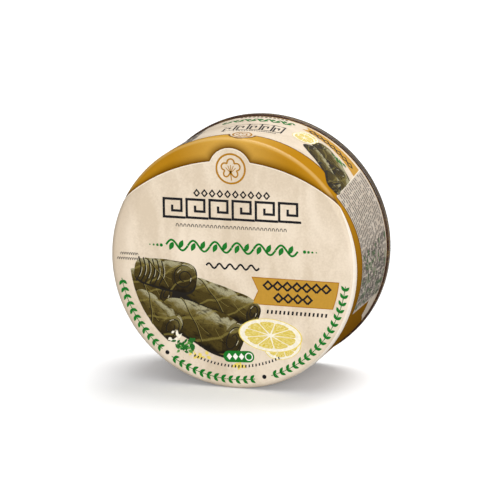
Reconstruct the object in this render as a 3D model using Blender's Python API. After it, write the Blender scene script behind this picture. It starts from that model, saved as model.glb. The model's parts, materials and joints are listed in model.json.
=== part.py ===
"""Round drawn food tin, standing on its curved wall with its flat printed face to the front.

The tin is two pieces of sheet metal: a drawn body, whose closed flat face turns into the wall
over a small rounded shoulder, and a stamped end that a double seam holds on the far side.
The tin is shut and filled, so the body is one solid. Its axis lies along Y, the printed face
looks towards -Y, and +Z is up. The origin is under the middle of the tin, on the ground.

Units are metres.
"""

from math import cos, pi, sin, sqrt

import bmesh
import bpy

# Driving dimensions of the tin
BODY_RADIUS = 0.0500
TIN_DEPTH = 0.0470
SHOULDER_RADIUS = 0.0025
FLAT_HALF_WIDTH = 0.0050

# The double seam at the far end
SEAM_HEIGHT = 0.0030
SEAM_PROUD = 0.0006
SEAM_WALL = 0.0012
SEAM_ROUNDING = 0.0004

# The stamped end inside the seam
COUNTERSINK_DEPTH = 0.0034
COUNTERSINK_WIDTH = 0.0020
PANEL_RISE = 0.0009
BEAD_RADII = (0.0400, 0.0300)
BEAD_STEP = 0.0006
BEAD_RUN = 0.0008
END_THICKNESS = 0.0010

# What keeps two meshes that touch apart
JOIN_GAP = 0.0003

SEGMENTS = 120
SHOULDER_STEPS = 6
ROUNDING_STEPS = 3
CREASE_ANGLE = 0.7

# The axis sits above the ground by what the flat spot leaves of the radius
AXIS_HEIGHT = sqrt(BODY_RADIUS**2 - FLAT_HALF_WIDTH**2)
FRONT_Y = -TIN_DEPTH / 2
BACK_Y = TIN_DEPTH / 2
SEAM_RADIUS = BODY_RADIUS + SEAM_PROUD
SEAM_INNER_RADIUS = SEAM_RADIUS - SEAM_WALL
SEAM_FOOT_Y = BACK_Y - SEAM_HEIGHT


def clear_scene():
    """Remove every object that the start-up file holds."""
    for item in list(bpy.data.objects):
        bpy.data.objects.remove(item, do_unlink=True)


def metal(name, colour, roughness, metallic):
    """Make a plain Principled material."""
    material = bpy.data.materials.new(name)
    material.use_nodes = True
    shader = material.node_tree.nodes["Principled BSDF"]
    shader.inputs["Base Color"].default_value = (*colour, 1.0)
    shader.inputs["Roughness"].default_value = roughness
    shader.inputs["Metallic"].default_value = metallic
    return material


def arc(centre_r, centre_y, radius, start, end, steps):
    """List the (r, y) points of an arc, both ends included."""
    points = []
    for index in range(steps + 1):
        angle = start + (end - start) * index / steps
        points.append((centre_r + radius * cos(angle), centre_y + radius * sin(angle)))
    return points


def turned(name, profile, material):
    """Spin an (r, y) outline, which starts and ends on the axis, into a closed solid."""
    bm = bmesh.new()
    points = [bm.verts.new((r, y, 0.0)) for r, y in profile]
    edges = [bm.edges.new(pair) for pair in zip(points, points[1:])]
    bmesh.ops.spin(
        bm,
        geom=points + edges,
        cent=(0.0, 0.0, 0.0),
        axis=(0.0, 1.0, 0.0),
        angle=2 * pi,
        steps=SEGMENTS,
        use_merge=True,
    )
    bmesh.ops.remove_doubles(bm, verts=bm.verts, dist=0.000001)
    bmesh.ops.recalc_face_normals(bm, faces=bm.faces)
    mesh = bpy.data.meshes.new(name)
    bm.to_mesh(mesh)
    bm.free()
    mesh.shade_smooth()
    mesh.set_sharp_from_angle(angle=CREASE_ANGLE)
    mesh.materials.append(material)
    solid = bpy.data.objects.new(name, mesh)
    solid.location = (0.0, 0.0, AXIS_HEIGHT)
    bpy.context.collection.objects.link(solid)
    return solid


def body_profile():
    """Outline of the drawn body: face, shoulder, wall, and the lip that the end sits in."""
    lip_radius = SEAM_INNER_RADIUS - JOIN_GAP
    wall_top_y = SEAM_FOOT_Y - JOIN_GAP
    contents_y = BACK_Y - COUNTERSINK_DEPTH - END_THICKNESS - JOIN_GAP
    shoulder = arc(
        BODY_RADIUS - SHOULDER_RADIUS,
        FRONT_Y + SHOULDER_RADIUS,
        SHOULDER_RADIUS,
        -pi / 2,
        0.0,
        SHOULDER_STEPS,
    )
    rim = [(BODY_RADIUS, wall_top_y), (lip_radius, wall_top_y)]
    floor = [(lip_radius, contents_y), (0.0, contents_y)]
    return [(0.0, FRONT_Y)] + shoulder + rim + floor


def end_profile():
    """Outline of the stamped end: seam, countersink and the panel with its beads."""
    groove_y = BACK_Y - COUNTERSINK_DEPTH
    panel_y = groove_y + PANEL_RISE
    under_y = groove_y - END_THICKNESS
    plug_radius = SEAM_INNER_RADIUS - 2 * JOIN_GAP
    under = [(0.0, under_y), (plug_radius, under_y), (plug_radius, SEAM_FOOT_Y)]
    foot = arc(
        SEAM_RADIUS - SEAM_ROUNDING,
        SEAM_FOOT_Y + SEAM_ROUNDING,
        SEAM_ROUNDING,
        -pi / 2,
        0.0,
        ROUNDING_STEPS,
    )
    crown_radius = SEAM_WALL / 2
    crown = arc(
        SEAM_RADIUS - crown_radius,
        BACK_Y - crown_radius,
        crown_radius,
        0.0,
        pi,
        2 * ROUNDING_STEPS,
    )
    groove_outer = SEAM_INNER_RADIUS - 2 * SEAM_ROUNDING
    groove_inner = groove_outer - COUNTERSINK_WIDTH
    panel = [
        (groove_outer, groove_y),
        (groove_inner, groove_y),
        (groove_inner - PANEL_RISE, panel_y),
    ]
    for index, radius in enumerate(BEAD_RADII):
        upper_y = panel_y - index * BEAD_STEP
        panel.append((radius + BEAD_RUN / 2, upper_y))
        panel.append((radius - BEAD_RUN / 2, upper_y - BEAD_STEP))
    centre_y = panel_y - len(BEAD_RADII) * BEAD_STEP
    return under + foot + crown + panel + [(0.0, centre_y)]


def level_underside(solids):
    """Cut the small flat spot that the tin stands on."""
    cut_depth = SEAM_RADIUS
    bm = bmesh.new()
    bmesh.ops.create_cube(bm, size=1.0)
    bmesh.ops.scale(bm, vec=(2 * SEAM_RADIUS, 2 * TIN_DEPTH, cut_depth), verts=bm.verts)
    mesh = bpy.data.meshes.new("ground_cutter")
    bm.to_mesh(mesh)
    bm.free()
    cutter = bpy.data.objects.new("ground_cutter", mesh)
    cutter.location = (0.0, 0.0, -cut_depth / 2)
    cutter.hide_render = True
    cutter.display_type = "WIRE"
    bpy.context.collection.objects.link(cutter)
    for solid in solids:
        cut = solid.modifiers.new("flat_spot", "BOOLEAN")
        cut.operation = "DIFFERENCE"
        cut.solver = "EXACT"
        cut.object = cutter


def build_tin():
    """Make the two pieces of the tin and the flat spot that they share."""
    printed_steel = metal("printed_steel", (0.78, 0.66, 0.49), 0.35, 0.0)
    gold_lacquer = metal("gold_lacquer", (0.52, 0.36, 0.14), 0.32, 0.9)
    body = turned("tin_body", body_profile(), printed_steel)
    end = turned("tin_end", end_profile(), gold_lacquer)
    level_underside([body, end])


clear_scene()
build_tin()
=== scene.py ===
"""Looks of a shut round food tin that stands on its wall with its printed face to the front.

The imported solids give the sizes. A fine skin stands for the drawn body and carries the print as
thin sheets of ink, and a fine turned end stands for the stamped end with its double seam. The
print is made of fields of colour, traditional borders and simple food motifs.

The metal is in metres. The print is in millimetres: on the face x to the right and z up from its
middle, on the wall the arc length round the axis and the run along the metal from that middle.
"""

from __future__ import annotations

import json
import logging
import math
import random
from dataclasses import dataclass
from enum import Enum
from typing import Callable, Sequence

import bmesh
import bpy
from mathutils import Matrix, Vector

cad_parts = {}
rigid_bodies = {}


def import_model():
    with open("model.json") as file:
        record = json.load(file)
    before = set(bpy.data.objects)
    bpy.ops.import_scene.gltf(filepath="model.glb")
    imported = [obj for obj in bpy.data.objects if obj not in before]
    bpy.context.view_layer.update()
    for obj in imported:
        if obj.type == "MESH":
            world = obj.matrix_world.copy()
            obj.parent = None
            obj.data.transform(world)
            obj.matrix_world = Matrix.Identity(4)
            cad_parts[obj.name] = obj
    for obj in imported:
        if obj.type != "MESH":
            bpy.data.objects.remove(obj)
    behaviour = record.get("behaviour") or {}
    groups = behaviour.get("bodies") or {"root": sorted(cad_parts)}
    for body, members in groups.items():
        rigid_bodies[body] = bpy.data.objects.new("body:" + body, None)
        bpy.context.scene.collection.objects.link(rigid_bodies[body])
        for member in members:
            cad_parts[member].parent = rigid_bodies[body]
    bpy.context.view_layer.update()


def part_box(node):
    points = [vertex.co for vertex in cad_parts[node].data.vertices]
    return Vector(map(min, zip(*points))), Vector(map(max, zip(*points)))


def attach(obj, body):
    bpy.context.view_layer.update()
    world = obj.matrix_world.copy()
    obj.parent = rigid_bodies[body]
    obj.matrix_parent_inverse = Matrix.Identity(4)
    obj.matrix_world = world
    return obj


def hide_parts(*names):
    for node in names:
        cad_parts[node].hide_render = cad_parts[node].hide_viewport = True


LOG = logging.getLogger("tin")

MM = 0.001
LAYER = 0.04 * MM
INSET = 0.2 * MM
TOP_LAYER = 4
SKIN_SEGMENTS = 288
WRAP_STEP = math.radians(2.5)
CREASE = math.radians(35.0)
GRAIN = 1300.0
WHITE = (1.0, 1.0, 1.0, 1.0)

Point = tuple[float, float]
Outline = list[Point]
Path = Sequence[Point]
Pairs = Sequence[tuple[Point, Point]]
Place = tuple[float, float, float]
Colour = tuple[float, float, float]
UvMap = Callable[[Point], Point]
Socket = bpy.types.NodeSocket
Material = bpy.types.Material
Piece = bpy.types.Object
BMesh = bmesh.types.BMesh
BMVert = bmesh.types.BMVert


def srgb(red: int, green: int, blue: int) -> Colour:
    """Turn a screen colour of 0 to 255 into the linear colour that a shader takes.

    Args:
        red: Screen red.
        green: Screen green.
        blue: Screen blue.

    Returns:
        The linear colour.
    """
    channels = (channel / 255.0 for channel in (red, green, blue))
    return tuple(
        share / 12.92 if share <= 0.04045 else ((share + 0.055) / 1.055) ** 2.4 for share in channels
    )


class Slot(Enum):
    """Material slots of the record."""

    PRINT = "printed_steel"
    LACQUER = "gold_lacquer"


class Ground(Enum):
    """Which part of the tin a printed piece lies on."""

    FACE = "face"
    WALL = "wall"


def placed(name: str, data: bpy.types.ID) -> Piece:
    """Put a mesh, a light or a camera into the scene.

    Args:
        name: Name of the object.
        data: What it shows.

    Returns:
        The new object.
    """
    thing = bpy.data.objects.new(name, data)
    bpy.context.collection.objects.link(thing)
    return thing


def from_bmesh(name: str, bm: BMesh, *materials: Material) -> Piece:
    """Turn a bmesh into an object of the scene, and free it.

    Args:
        name: Name of the object and its mesh.
        bm: The bmesh.
        *materials: Its finishes, in the order of their slots.

    Returns:
        The new object.
    """
    mesh = bpy.data.meshes.new(name)
    bm.to_mesh(mesh)
    bm.free()
    for material in materials:
        mesh.materials.append(material)
    return placed(name, mesh)


def settle(piece: Piece, slot: Slot, *replaced: str) -> None:
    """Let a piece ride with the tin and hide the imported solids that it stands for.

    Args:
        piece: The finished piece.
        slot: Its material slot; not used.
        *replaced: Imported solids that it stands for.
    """
    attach(piece, "root")
    if replaced:
        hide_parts(*replaced)
    LOG.info("%s: %d faces", piece.name, len(piece.data.polygons))


# Node trees


class NodeBoard:
    """Small helper that adds and links nodes of one tree."""

    def __init__(self, tree: bpy.types.NodeTree) -> None:
        """Keep the tree that the nodes go into."""
        self.tree = tree

    def add(self, kind: str, inputs: dict | None = None, **settings: object) -> bpy.types.Node:
        """Add a node.

        Args:
            kind: Blender's name for the node.
            inputs: Values or output sockets by the input's name or number.
            **settings: Properties of the node.

        Returns:
            The new node.
        """
        node = self.tree.nodes.new(kind)
        for name, value in settings.items():
            setattr(node, name, value)
        self.fill(node, inputs or {})
        return node

    def fill(self, node: bpy.types.Node, inputs: dict) -> None:
        """Link output sockets to a node's inputs, or set the inputs' own values.

        Args:
            node: The node.
            inputs: Values or output sockets by the input's name or number.
        """
        for key, value in inputs.items():
            if isinstance(value, Socket):
                self.tree.links.new(value, node.inputs[key])
            else:
                node.inputs[key].default_value = value

    def math(self, operation: str, *values: object, clamp: bool = False) -> Socket:
        """Add a Math node over numbers or sockets and return its result."""
        inputs = dict(enumerate(values))
        return self.add("ShaderNodeMath", inputs, operation=operation, use_clamp=clamp).outputs[0]

    def times(self, first: object, second: object) -> Socket:
        """Multiply two numbers or sockets."""
        return self.math("MULTIPLY", first, second)

    def minus(self, first: object, second: object) -> Socket:
        """Subtract two numbers or sockets."""
        return self.math("SUBTRACT", first, second)

    def span(
        self, value: object, low: float, high: float, to_low: float = 0.0, to_high: float = 1.0
    ) -> Socket:
        """Map a value from low..high to to_low..to_high with a smooth step."""
        inputs = dict(enumerate((value, low, high, to_low, to_high)))
        return self.add("ShaderNodeMapRange", inputs, interpolation_type="SMOOTHSTEP").outputs[0]

    def noise(self, spot: Socket, scale: float, detail: float = 2.0, distortion: float = 0.0) -> Socket:
        """Add a noise texture and return its grey value."""
        inputs = {"Vector": spot, "Scale": scale, "Detail": detail, "Distortion": distortion}
        return self.add("ShaderNodeTexNoise", inputs).outputs["Fac"]

    def mix(self, share: object, first: object, second: object) -> Socket:
        """Blend two colours and return the result."""
        first, second = ((*c, 1.0) if isinstance(c, tuple) else c for c in (first, second))
        return self.add("ShaderNodeMix", {0: share, 6: first, 7: second}, data_type="RGBA").outputs[2]

    def ramp(self, value: object, stops: Sequence[tuple[float, Colour]]) -> Socket:
        """Colour a value by a row of stops and return the colour.

        Args:
            value: The value.
            stops: Places from 0 to 1 and their colours.

        Returns:
            The socket of the colour.
        """
        node = self.add("ShaderNodeValToRGB", {0: value})
        elements = node.color_ramp.elements
        while len(elements) < len(stops):
            elements.new(0.5)
        for element, (place, colour) in zip(elements, stops):
            element.position = place
            element.color = (*colour, 1.0)
        return node.outputs[0]

    def place(self) -> Socket:
        """Return the Object coordinates."""
        return self.add("ShaderNodeTexCoord").outputs["Object"]

    def print_uv(self) -> Socket:
        """Return the coordinates of a print piece's own UV map."""
        return self.add("ShaderNodeUVMap", uv_map=Inkwork.UV_NAME).outputs[0]

    def mapped(self, vector: Socket, scale: Place, turn: Place = (0.0, 0.0, 0.0)) -> Socket:
        """Return a vector that is stretched and turned."""
        return self.add("ShaderNodeMapping", {"Vector": vector, "Scale": scale, "Rotation": turn}).outputs[0]

    def parts(self, vector: Socket) -> Sequence[Socket]:
        """Return the x, y and z of a vector."""
        return self.add("ShaderNodeSeparateXYZ", {0: vector}).outputs

    def vector(self, **parts: object) -> Socket:
        """Return a vector made of the given x, y and z, each 0 when left out."""
        inputs = {name.upper(): part for name, part in parts.items()}
        return self.add("ShaderNodeCombineXYZ", inputs).outputs[0]

    def length(self, vector: Socket) -> Socket:
        """Return the length of a vector."""
        return self.add("ShaderNodeVectorMath", {0: vector}, operation="LENGTH").outputs["Value"]

    def bump(self, height: Socket, strength: float) -> Socket:
        """Return a normal that is roughened by a height."""
        inputs = {"Strength": strength, "Distance": 0.1 * MM, "Height": height}
        return self.add("ShaderNodeBump", inputs).outputs[0]

    def turned(self, angle: Socket, radius: Socket) -> tuple[Socket, Socket]:
        """Return the x and z of a point at an angle and a distance from the axis."""
        x, z = (self.times(self.math(name, angle), radius) for name in ("COSINE", "SINE"))
        return x, z

    def reach(self, axes: Sequence[Socket], x: float, z: float) -> Socket:
        """Return the distance from the line x, z that runs along the tin's axis."""
        return self.length(self.vector(x=self.minus(axes["X"], x), z=self.minus(axes["Z"], z)))


def new_material(name: str) -> tuple[Material, NodeBoard, bpy.types.Node]:
    """Make a material.

    Args:
        name: Its name.

    Returns:
        The material, a board for its nodes, and its shader.
    """
    material = bpy.data.materials.new(name)
    material.use_nodes = True
    return material, NodeBoard(material.node_tree), material.node_tree.nodes["Principled BSDF"]


# Finishes


class Ink:
    """Printed ink under clear roller varnish. Each kind of ink paints its own colour."""

    name: str
    ROUGHNESS = 0.5
    COAT = 0.05
    COAT_ROUGHNESS = 0.2
    SPECULAR = 0.2
    BUMP = 0.03
    BUMP_SCALE = 1400.0

    def paint(self, board: NodeBoard) -> Socket:
        """Add the colour's nodes and return the colour."""
        raise NotImplementedError

    def material(self) -> Material:
        """Make the ink's material.

        Returns:
            The new material.
        """
        material, board, shader = new_material(self.name)
        inputs = {
            "Base Color": self.paint(board),
            "Roughness": self.ROUGHNESS,
            "Specular IOR Level": self.SPECULAR,
            "Coat Weight": self.COAT,
            "Coat Roughness": self.COAT_ROUGHNESS,
            "Normal": board.bump(board.noise(board.place(), self.BUMP_SCALE), self.BUMP),
        }
        board.fill(shader, inputs)
        return material


@dataclass(frozen=True)
class FlatInk(Ink):
    """One ink laid as a solid, with the faint mottle of a litho print."""

    name: str
    colour: Colour
    mottle: float = 0.06

    def paint(self, board: NodeBoard) -> Socket:
        """Vary the ink's density a little from place to place.

        Args:
            board: Board of the ink's material.

        Returns:
            The socket of the ink's colour.
        """
        grain = board.noise(board.place(), 900.0, 3.0)
        darker = tuple(channel * (1.0 - 2.0 * self.mottle) for channel in self.colour)
        lighter = tuple(min(1.0, channel * (1.0 + self.mottle)) for channel in self.colour)
        return board.ramp(grain, [(0.3, darker), (0.7, lighter)])


def flat_ink(name: str, red: int, green: int, blue: int, mottle: float = 0.06) -> Material:
    """Make the material of a flat ink from its screen colour."""
    return FlatInk(name, srgb(red, green, blue), mottle).material()


@dataclass(frozen=True)
class ParchmentInk(Ink):
    """Cream field with soft upright folds, fine grain, a few specks and a painted shade near the left of the
    rim.
    """

    tin: TinForm
    name: str = "parchment_print"
    light: Colour = srgb(236, 220, 198)
    dark: Colour = srgb(216, 198, 173)
    speck: Colour = srgb(150, 128, 100)
    # Painted shade near the left of the rim: its colour and where it lies.
    shade: Colour = srgb(188, 168, 142)
    painted_shade_across: Point = (28 * MM, 46 * MM)
    painted_shade_rim: Point = (41 * MM, 48 * MM)

    def paint(self, board: NodeBoard) -> Socket:
        """Stack folds, clouds, grain, specks and the painted shade along the rim.

        Args:
            board: Board of the ink's material.

        Returns:
            The socket of the ink's colour.
        """
        place = board.place()
        folds = board.noise(board.mapped(place, (1.0, 1.0, 0.34), (0.0, -0.3, 0.0)), 88.0, 2.0, 1.1)
        clouds = board.noise(place, 34.0)
        grain = board.noise(place, GRAIN, 3.0)
        soft = board.math("MULTIPLY_ADD", folds, 0.5, board.times(clouds, 0.26))
        tone = board.math("ADD", soft, board.times(grain, 0.24))
        base = board.mix(board.span(tone, 0.36, 0.63), self.dark, self.light)
        cells = board.add("ShaderNodeTexVoronoi", {"Vector": place, "Scale": 130.0})
        dots = board.span(cells.outputs["Distance"], 0.02, 0.045, 0.35, 0.0)
        # Painted shade darkens the sheet near the left of the rim.
        return board.mix(self._painted_rim_shade(board, place), board.mix(dots, base, self.speck), self.shade)

    def _painted_rim_shade(self, board: NodeBoard, place: Socket) -> Socket:
        """Paint shade on the sheet near the left of the rim.

        Args:
            board: Board of the ink's material.
            place: Object coordinates.

        Returns:
            The share of the painted shade.
        """
        axes = board.parts(place)
        height = board.minus(axes["Z"], self.tin.axis_z)
        leftward = board.math("MULTIPLY_ADD", axes["X"], -1.0, board.times(height, 0.1))
        side = board.span(leftward, *self.painted_shade_across, 0.0, 0.5)
        return board.times(board.span(board.reach(axes, 0.0, self.tin.axis_z), *self.painted_shade_rim), side)


@dataclass(frozen=True)
class GoldField(Ink):
    """Gold ground of the skin, shaded where the face's cream field casts a printed shadow on it, with
    painted highlight near the top middle and on the shoulder and painted shade towards the bottom.
    """

    tin: TinForm
    cream: CreamField
    name: str = "gold_print"
    # light is the painted highlight near the top middle; deep is the painted shade towards the bottom and
    # the grain's darker tone.
    light: Colour = srgb(208, 161, 72)
    middle: Colour = srgb(180, 127, 26)
    deep: Colour = srgb(144, 98, 22)
    shadow: Colour = srgb(92, 54, 0)
    # Painted highlight along the shoulder.
    painted_highlight: Colour = srgb(222, 186, 112)
    wide_shadow: float = 3.7 * MM
    narrow_shadow: float = 1.5 * MM
    rim_depth: float = 1.6 * MM
    SPECULAR = 0.0

    def paint(self, board: NodeBoard) -> Socket:
        """Shade the gold by the distance to the cream's edge.

        Args:
            board: Board of the ink's material.

        Returns:
            The socket of the ink's colour.
        """
        place = board.place()
        axes = board.parts(place)
        middle_z = self.tin.axis_z
        outside = [
            board.minus(board.reach(axes, x * MM, middle_z + z * MM), radius * MM)
            for (x, z), radius in self.cream.rounds
        ]
        past_rim = board.minus(axes["Y"], self.tin.front_y + self.rim_depth)
        from_cream = board.math("MAXIMUM", board.math("MINIMUM", *outside), past_rim)
        sideways = board.math("ABSOLUTE", axes["X"])
        width = board.span(sideways, 22 * MM, 41 * MM, self.wide_shadow, self.narrow_shadow)
        shade = board.math("SUBTRACT", 1.0, board.math("DIVIDE", from_cream, width), clamp=True)
        # Painted highlight and shade: the gold is lighter near the top middle and darker towards the bottom.
        glow = board.span(sideways, 2 * MM, 26 * MM, 1.0, 0.0)
        height = board.span(axes["Z"], middle_z - 30 * MM, middle_z + 35 * MM)
        ground = board.mix(glow, board.mix(height, self.deep, self.middle), self.light)
        ground = board.mix(board.times(board.noise(place, GRAIN), 0.12), ground, self.deep)
        # Painted highlight: the shoulder band is lightened.
        ground = board.mix(board.times(self._shoulder(board), 0.4), ground, self.painted_highlight)
        return board.mix(board.math("POWER", shade, 1.7), ground, self.shadow)

    def material(self) -> Material:
        """Make the gold's material, glossier on the shoulder.

        Returns:
            The new material.
        """
        material = super().material()
        board = NodeBoard(material.node_tree)
        coat = {"Coat Weight": board.times(self._shoulder(board), 0.7), "Coat Roughness": 0.3}
        board.fill(material.node_tree.nodes["Principled BSDF"], coat)
        return material

    def _shoulder(self, board: NodeBoard) -> Socket:
        """Pick out the thin band where the shoulder is most rounded, which carries the painted highlight and
        the glossier coat.

        Args:
            board: Board of the ink's material.

        Returns:
            The band's mask.
        """
        depth = board.parts(board.place())["Y"]
        front = self.tin.front_y
        rising = board.span(depth, front + 0.35 * MM, front + 0.95 * MM)
        return board.times(rising, board.span(depth, front + 1.2 * MM, front + 2.3 * MM, 1.0, 0.0))


@dataclass(frozen=True)
class PanelInk(Ink):
    """Greyish cream ground of the small-print panels."""

    name: str = "panel_print"
    light: Colour = srgb(215, 202, 185)
    dark: Colour = srgb(204, 189, 171)

    def paint(self, board: NodeBoard) -> Socket:
        """Mottle the ground softly."""
        clouds = board.noise(board.place(), 160.0, 3.0)
        return board.mix(board.span(clouds, 0.35, 0.65), self.dark, self.light)


@dataclass(frozen=True)
class LeafInk(Ink):
    """Cooked vine leaf: a dark olive tube with a pale sheen, veins and dark folds.

    The piece's UV map runs along the roll in u and across it in v.
    """

    name: str = "leaf_print"
    sheen: Colour = srgb(168, 161, 126)
    lit: Colour = srgb(110, 96, 46)
    body: Colour = srgb(74, 61, 20)
    dark: Colour = srgb(26, 18, 5)
    vein: Colour = srgb(146, 132, 66)
    SPECULAR = 0.1

    def paint(self, board: NodeBoard) -> Socket:
        """Round the roll by tone, then lay veins and blotches over it.

        Args:
            board: Board of the ink's material.

        Returns:
            The socket of the ink's colour.
        """
        spot = board.print_uv()
        wobble = board.math("MULTIPLY_ADD", board.noise(spot, 3.2, 4.0, 0.8), 0.5, -0.25)
        stops = [(0.0, self.dark), (0.2, self.body), (0.5, self.body), (0.68, self.lit),
                 (0.84, self.sheen), (0.93, self.sheen), (1.0, self.body)]
        tube = board.ramp(board.math("ADD", board.parts(spot)["Y"], wobble), stops)
        drawn = board.mapped(spot, (1.0, 4.2, 1.0), (0.0, 0.0, 0.25))
        creases = board.span(board.noise(drawn, 2.4, 3.0, 1.2), 0.55, 0.72, 0.0, 0.8)
        creased = board.mix(creases, tube, self.dark)
        wave = {"Scale": 0.55, "Distortion": 3.5, "Detail": 2.0, "Detail Scale": 1.4}
        wave["Vector"] = board.mapped(spot, (1.0, 1.0, 1.0), (0.0, 0.0, 0.9))
        bands = board.add("ShaderNodeTexWave", wave).outputs["Fac"]
        veined = board.mix(board.span(bands, 0.94, 1.0, 0.0, 0.5), creased, self.vein)
        return board.mix(board.span(board.noise(spot, 26.0, 4.0), 0.46, 0.72, 0.0, 0.5), veined, self.dark)


@dataclass(frozen=True)
class PulpInk(Ink):
    """Lemon flesh: yellow sacs that streak outwards from the middle of the slice.

    The piece's UV map has the middle of the slice at 0, 0 and its rim at a distance of 1.
    """

    name: str = "lemon_pulp_print"
    deep: Colour = srgb(210, 180, 50)
    bright: Colour = srgb(226, 204, 104)
    pale: Colour = srgb(240, 229, 182)

    def paint(self, board: NodeBoard) -> Socket:
        """Streak the flesh by angle and speckle it by distance.

        Args:
            board: Board of the ink's material.

        Returns:
            The socket of the ink's colour.
        """
        spot = board.print_uv()
        parts = board.parts(spot)
        turn = board.math("ARCTAN2", parts["Y"], parts["X"])
        polar = board.vector(x=board.times(turn, 6.0), y=board.times(board.length(spot), 3.0))
        sacs = board.times(board.noise(spot, 13.0, 3.0), 0.4)
        tone = board.math("MULTIPLY_ADD", board.noise(polar, 2.2, 4.0), 0.6, sacs)
        return board.ramp(tone, [(0.36, self.deep), (0.52, self.bright), (0.68, self.pale)])


@dataclass(frozen=True)
class GoldLacquer:
    """Transparent gold-brown lacquer on the stamped end, with painted shade on the seam's upper right."""

    back_y: float
    foot_y: float
    seam_radius: float
    axis_z: float
    name: str = "gold_lacquer"
    base: Colour = srgb(214, 180, 108)
    dark: Colour = srgb(196, 160, 92)
    crown: Colour = srgb(112, 94, 66)
    groove: Colour = srgb(30, 20, 12)
    band: Colour = srgb(186, 150, 84)
    foot_shade: Colour = srgb(62, 32, 10)

    def material(self) -> Material:
        """Make the lacquered steel's material.

        Returns:
            The new material.
        """
        material, board, shader = new_material(self.name)
        place = board.place()
        axes = board.parts(place)
        lines = board.noise(board.mapped(place, (0.25, 1.0, 6.0)), 260.0, 3.0)
        clouds = board.noise(place, 60.0, 3.0)
        tone = board.math("MULTIPLY_ADD", lines, 0.5, board.times(clouds, 0.5))
        steel = board.mix(board.span(tone, 0.3, 0.7), self.dark, self.base)
        flank = board.add("ShaderNodeMapRange", {0: axes["Y"], 1: self.foot_y, 2: self.back_y}).outputs[0]
        # Painted shade at the seam's foot, in the crease against the wall.
        stops = [(0.0, self.foot_shade), (0.16, self.foot_shade), (0.28, self.band), (0.46, self.band),
                 (0.56, self.groove), (0.64, self.groove), (0.76, self.crown), (1.0, self.crown)]
        worn = board.mix(board.span(lines, 0.5, 0.75, 0.0, 0.25), board.ramp(flank, stops), self.base)
        # Painted shade: the seam turns darker towards its upper right, standing in for a dark reflection.
        height = board.times(board.minus(axes["Z"], self.axis_z), 0.66)
        sideways = board.math("MULTIPLY_ADD", axes["X"], 0.75, height)
        thick = board.span(sideways, 0.78 * self.seam_radius, 0.98 * self.seam_radius, 0.0, 0.68)
        reach = board.reach(axes, 0.0, self.axis_z)
        outer = board.span(reach, self.seam_radius - 1.3 * MM, self.seam_radius - 0.7 * MM)
        seamed = board.mix(thick, worn, self.groove)
        inputs = {
            "Base Color": board.mix(outer, steel, seamed),
            "Roughness": board.span(clouds, 0.3, 0.7, 0.24, 0.38),
            "Metallic": board.math("MULTIPLY_ADD", outer, -0.55, 0.8),
            "Coat Weight": 0.3,
            "Coat Roughness": 0.15,
            "Normal": board.bump(lines, 0.05),
        }
        board.fill(shader, inputs)
        return material


# The tin's form


@dataclass(frozen=True)
class TinForm:
    """Shape of the drawn body in metres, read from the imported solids, and the map from print to metal."""

    radius: float
    front_y: float
    axis_z: float
    shoulder: float = 2.5 * MM

    @classmethod
    def from_frame(cls) -> TinForm:
        """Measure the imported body.

        Returns:
            The form with the body's own sizes.
        """
        low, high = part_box("tin_body")
        radius = (high.x - low.x) / 2
        return cls(radius, low.y, high.z - radius)

    @property
    def face_run(self) -> float:
        """Run at which the flat face ends and the shoulder starts."""
        return self.radius - self.shoulder

    @property
    def wall_run(self) -> float:
        """Run at which the shoulder ends and the wall starts."""
        return self.face_run + self.shoulder * math.pi / 2

    def wall_y(self, run: float) -> float:
        """Return the y of a run that lies on the wall."""
        return self.front_y + self.shoulder + run - self.wall_run

    def profile(self, run: float, lift: float) -> Point:
        """Find a run's place in the tin's outline.

        Args:
            run: Distance from the middle of the face along the metal.
            lift: Distance off the metal.

        Returns:
            The distance from the axis, and y.
        """
        if run <= self.face_run:
            return run, self.front_y - lift
        if run <= self.wall_run:
            turn = (run - self.face_run) / self.shoulder
            reach = self.shoulder + lift
            y = self.front_y + self.shoulder - reach * math.cos(turn)
            return self.face_run + reach * math.sin(turn), y
        return self.radius + lift, self.wall_y(run)

    def at(self, run: float, angle: float, layer: float) -> Vector:
        """Return the place of a printed point.

        Args:
            run: Distance from the middle of the face along the metal.
            angle: Angle round the axis, from +X towards +Z.
            layer: Number of the ink layer, 0 for the skin itself.

        Returns:
            The point, kept above the level of the tin's flat spot.
        """
        reach, y = self.profile(run, layer * LAYER - INSET)
        ground = (TOP_LAYER - layer) * LAYER * 0.1
        z = max(ground, self.axis_z + reach * math.sin(angle))
        return Vector((reach * math.cos(angle), y, z))


def join_rings(bm: BMesh, first: list[BMVert], second: list[BMVert]) -> None:
    """Fill the band between two closed rings, either of which may be a single point.

    Args:
        bm: The bmesh that takes the faces.
        first: One ring.
        second: The ring that comes next along the outline.
    """
    count = max(len(first), len(second))
    for step in range(count):
        steps = ((first, step), (second, step), (second, step + 1), (first, step + 1))
        corners = dict.fromkeys(ring[index % len(ring)] for ring, index in steps)
        bm.faces.new(tuple(corners)).smooth = True


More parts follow.
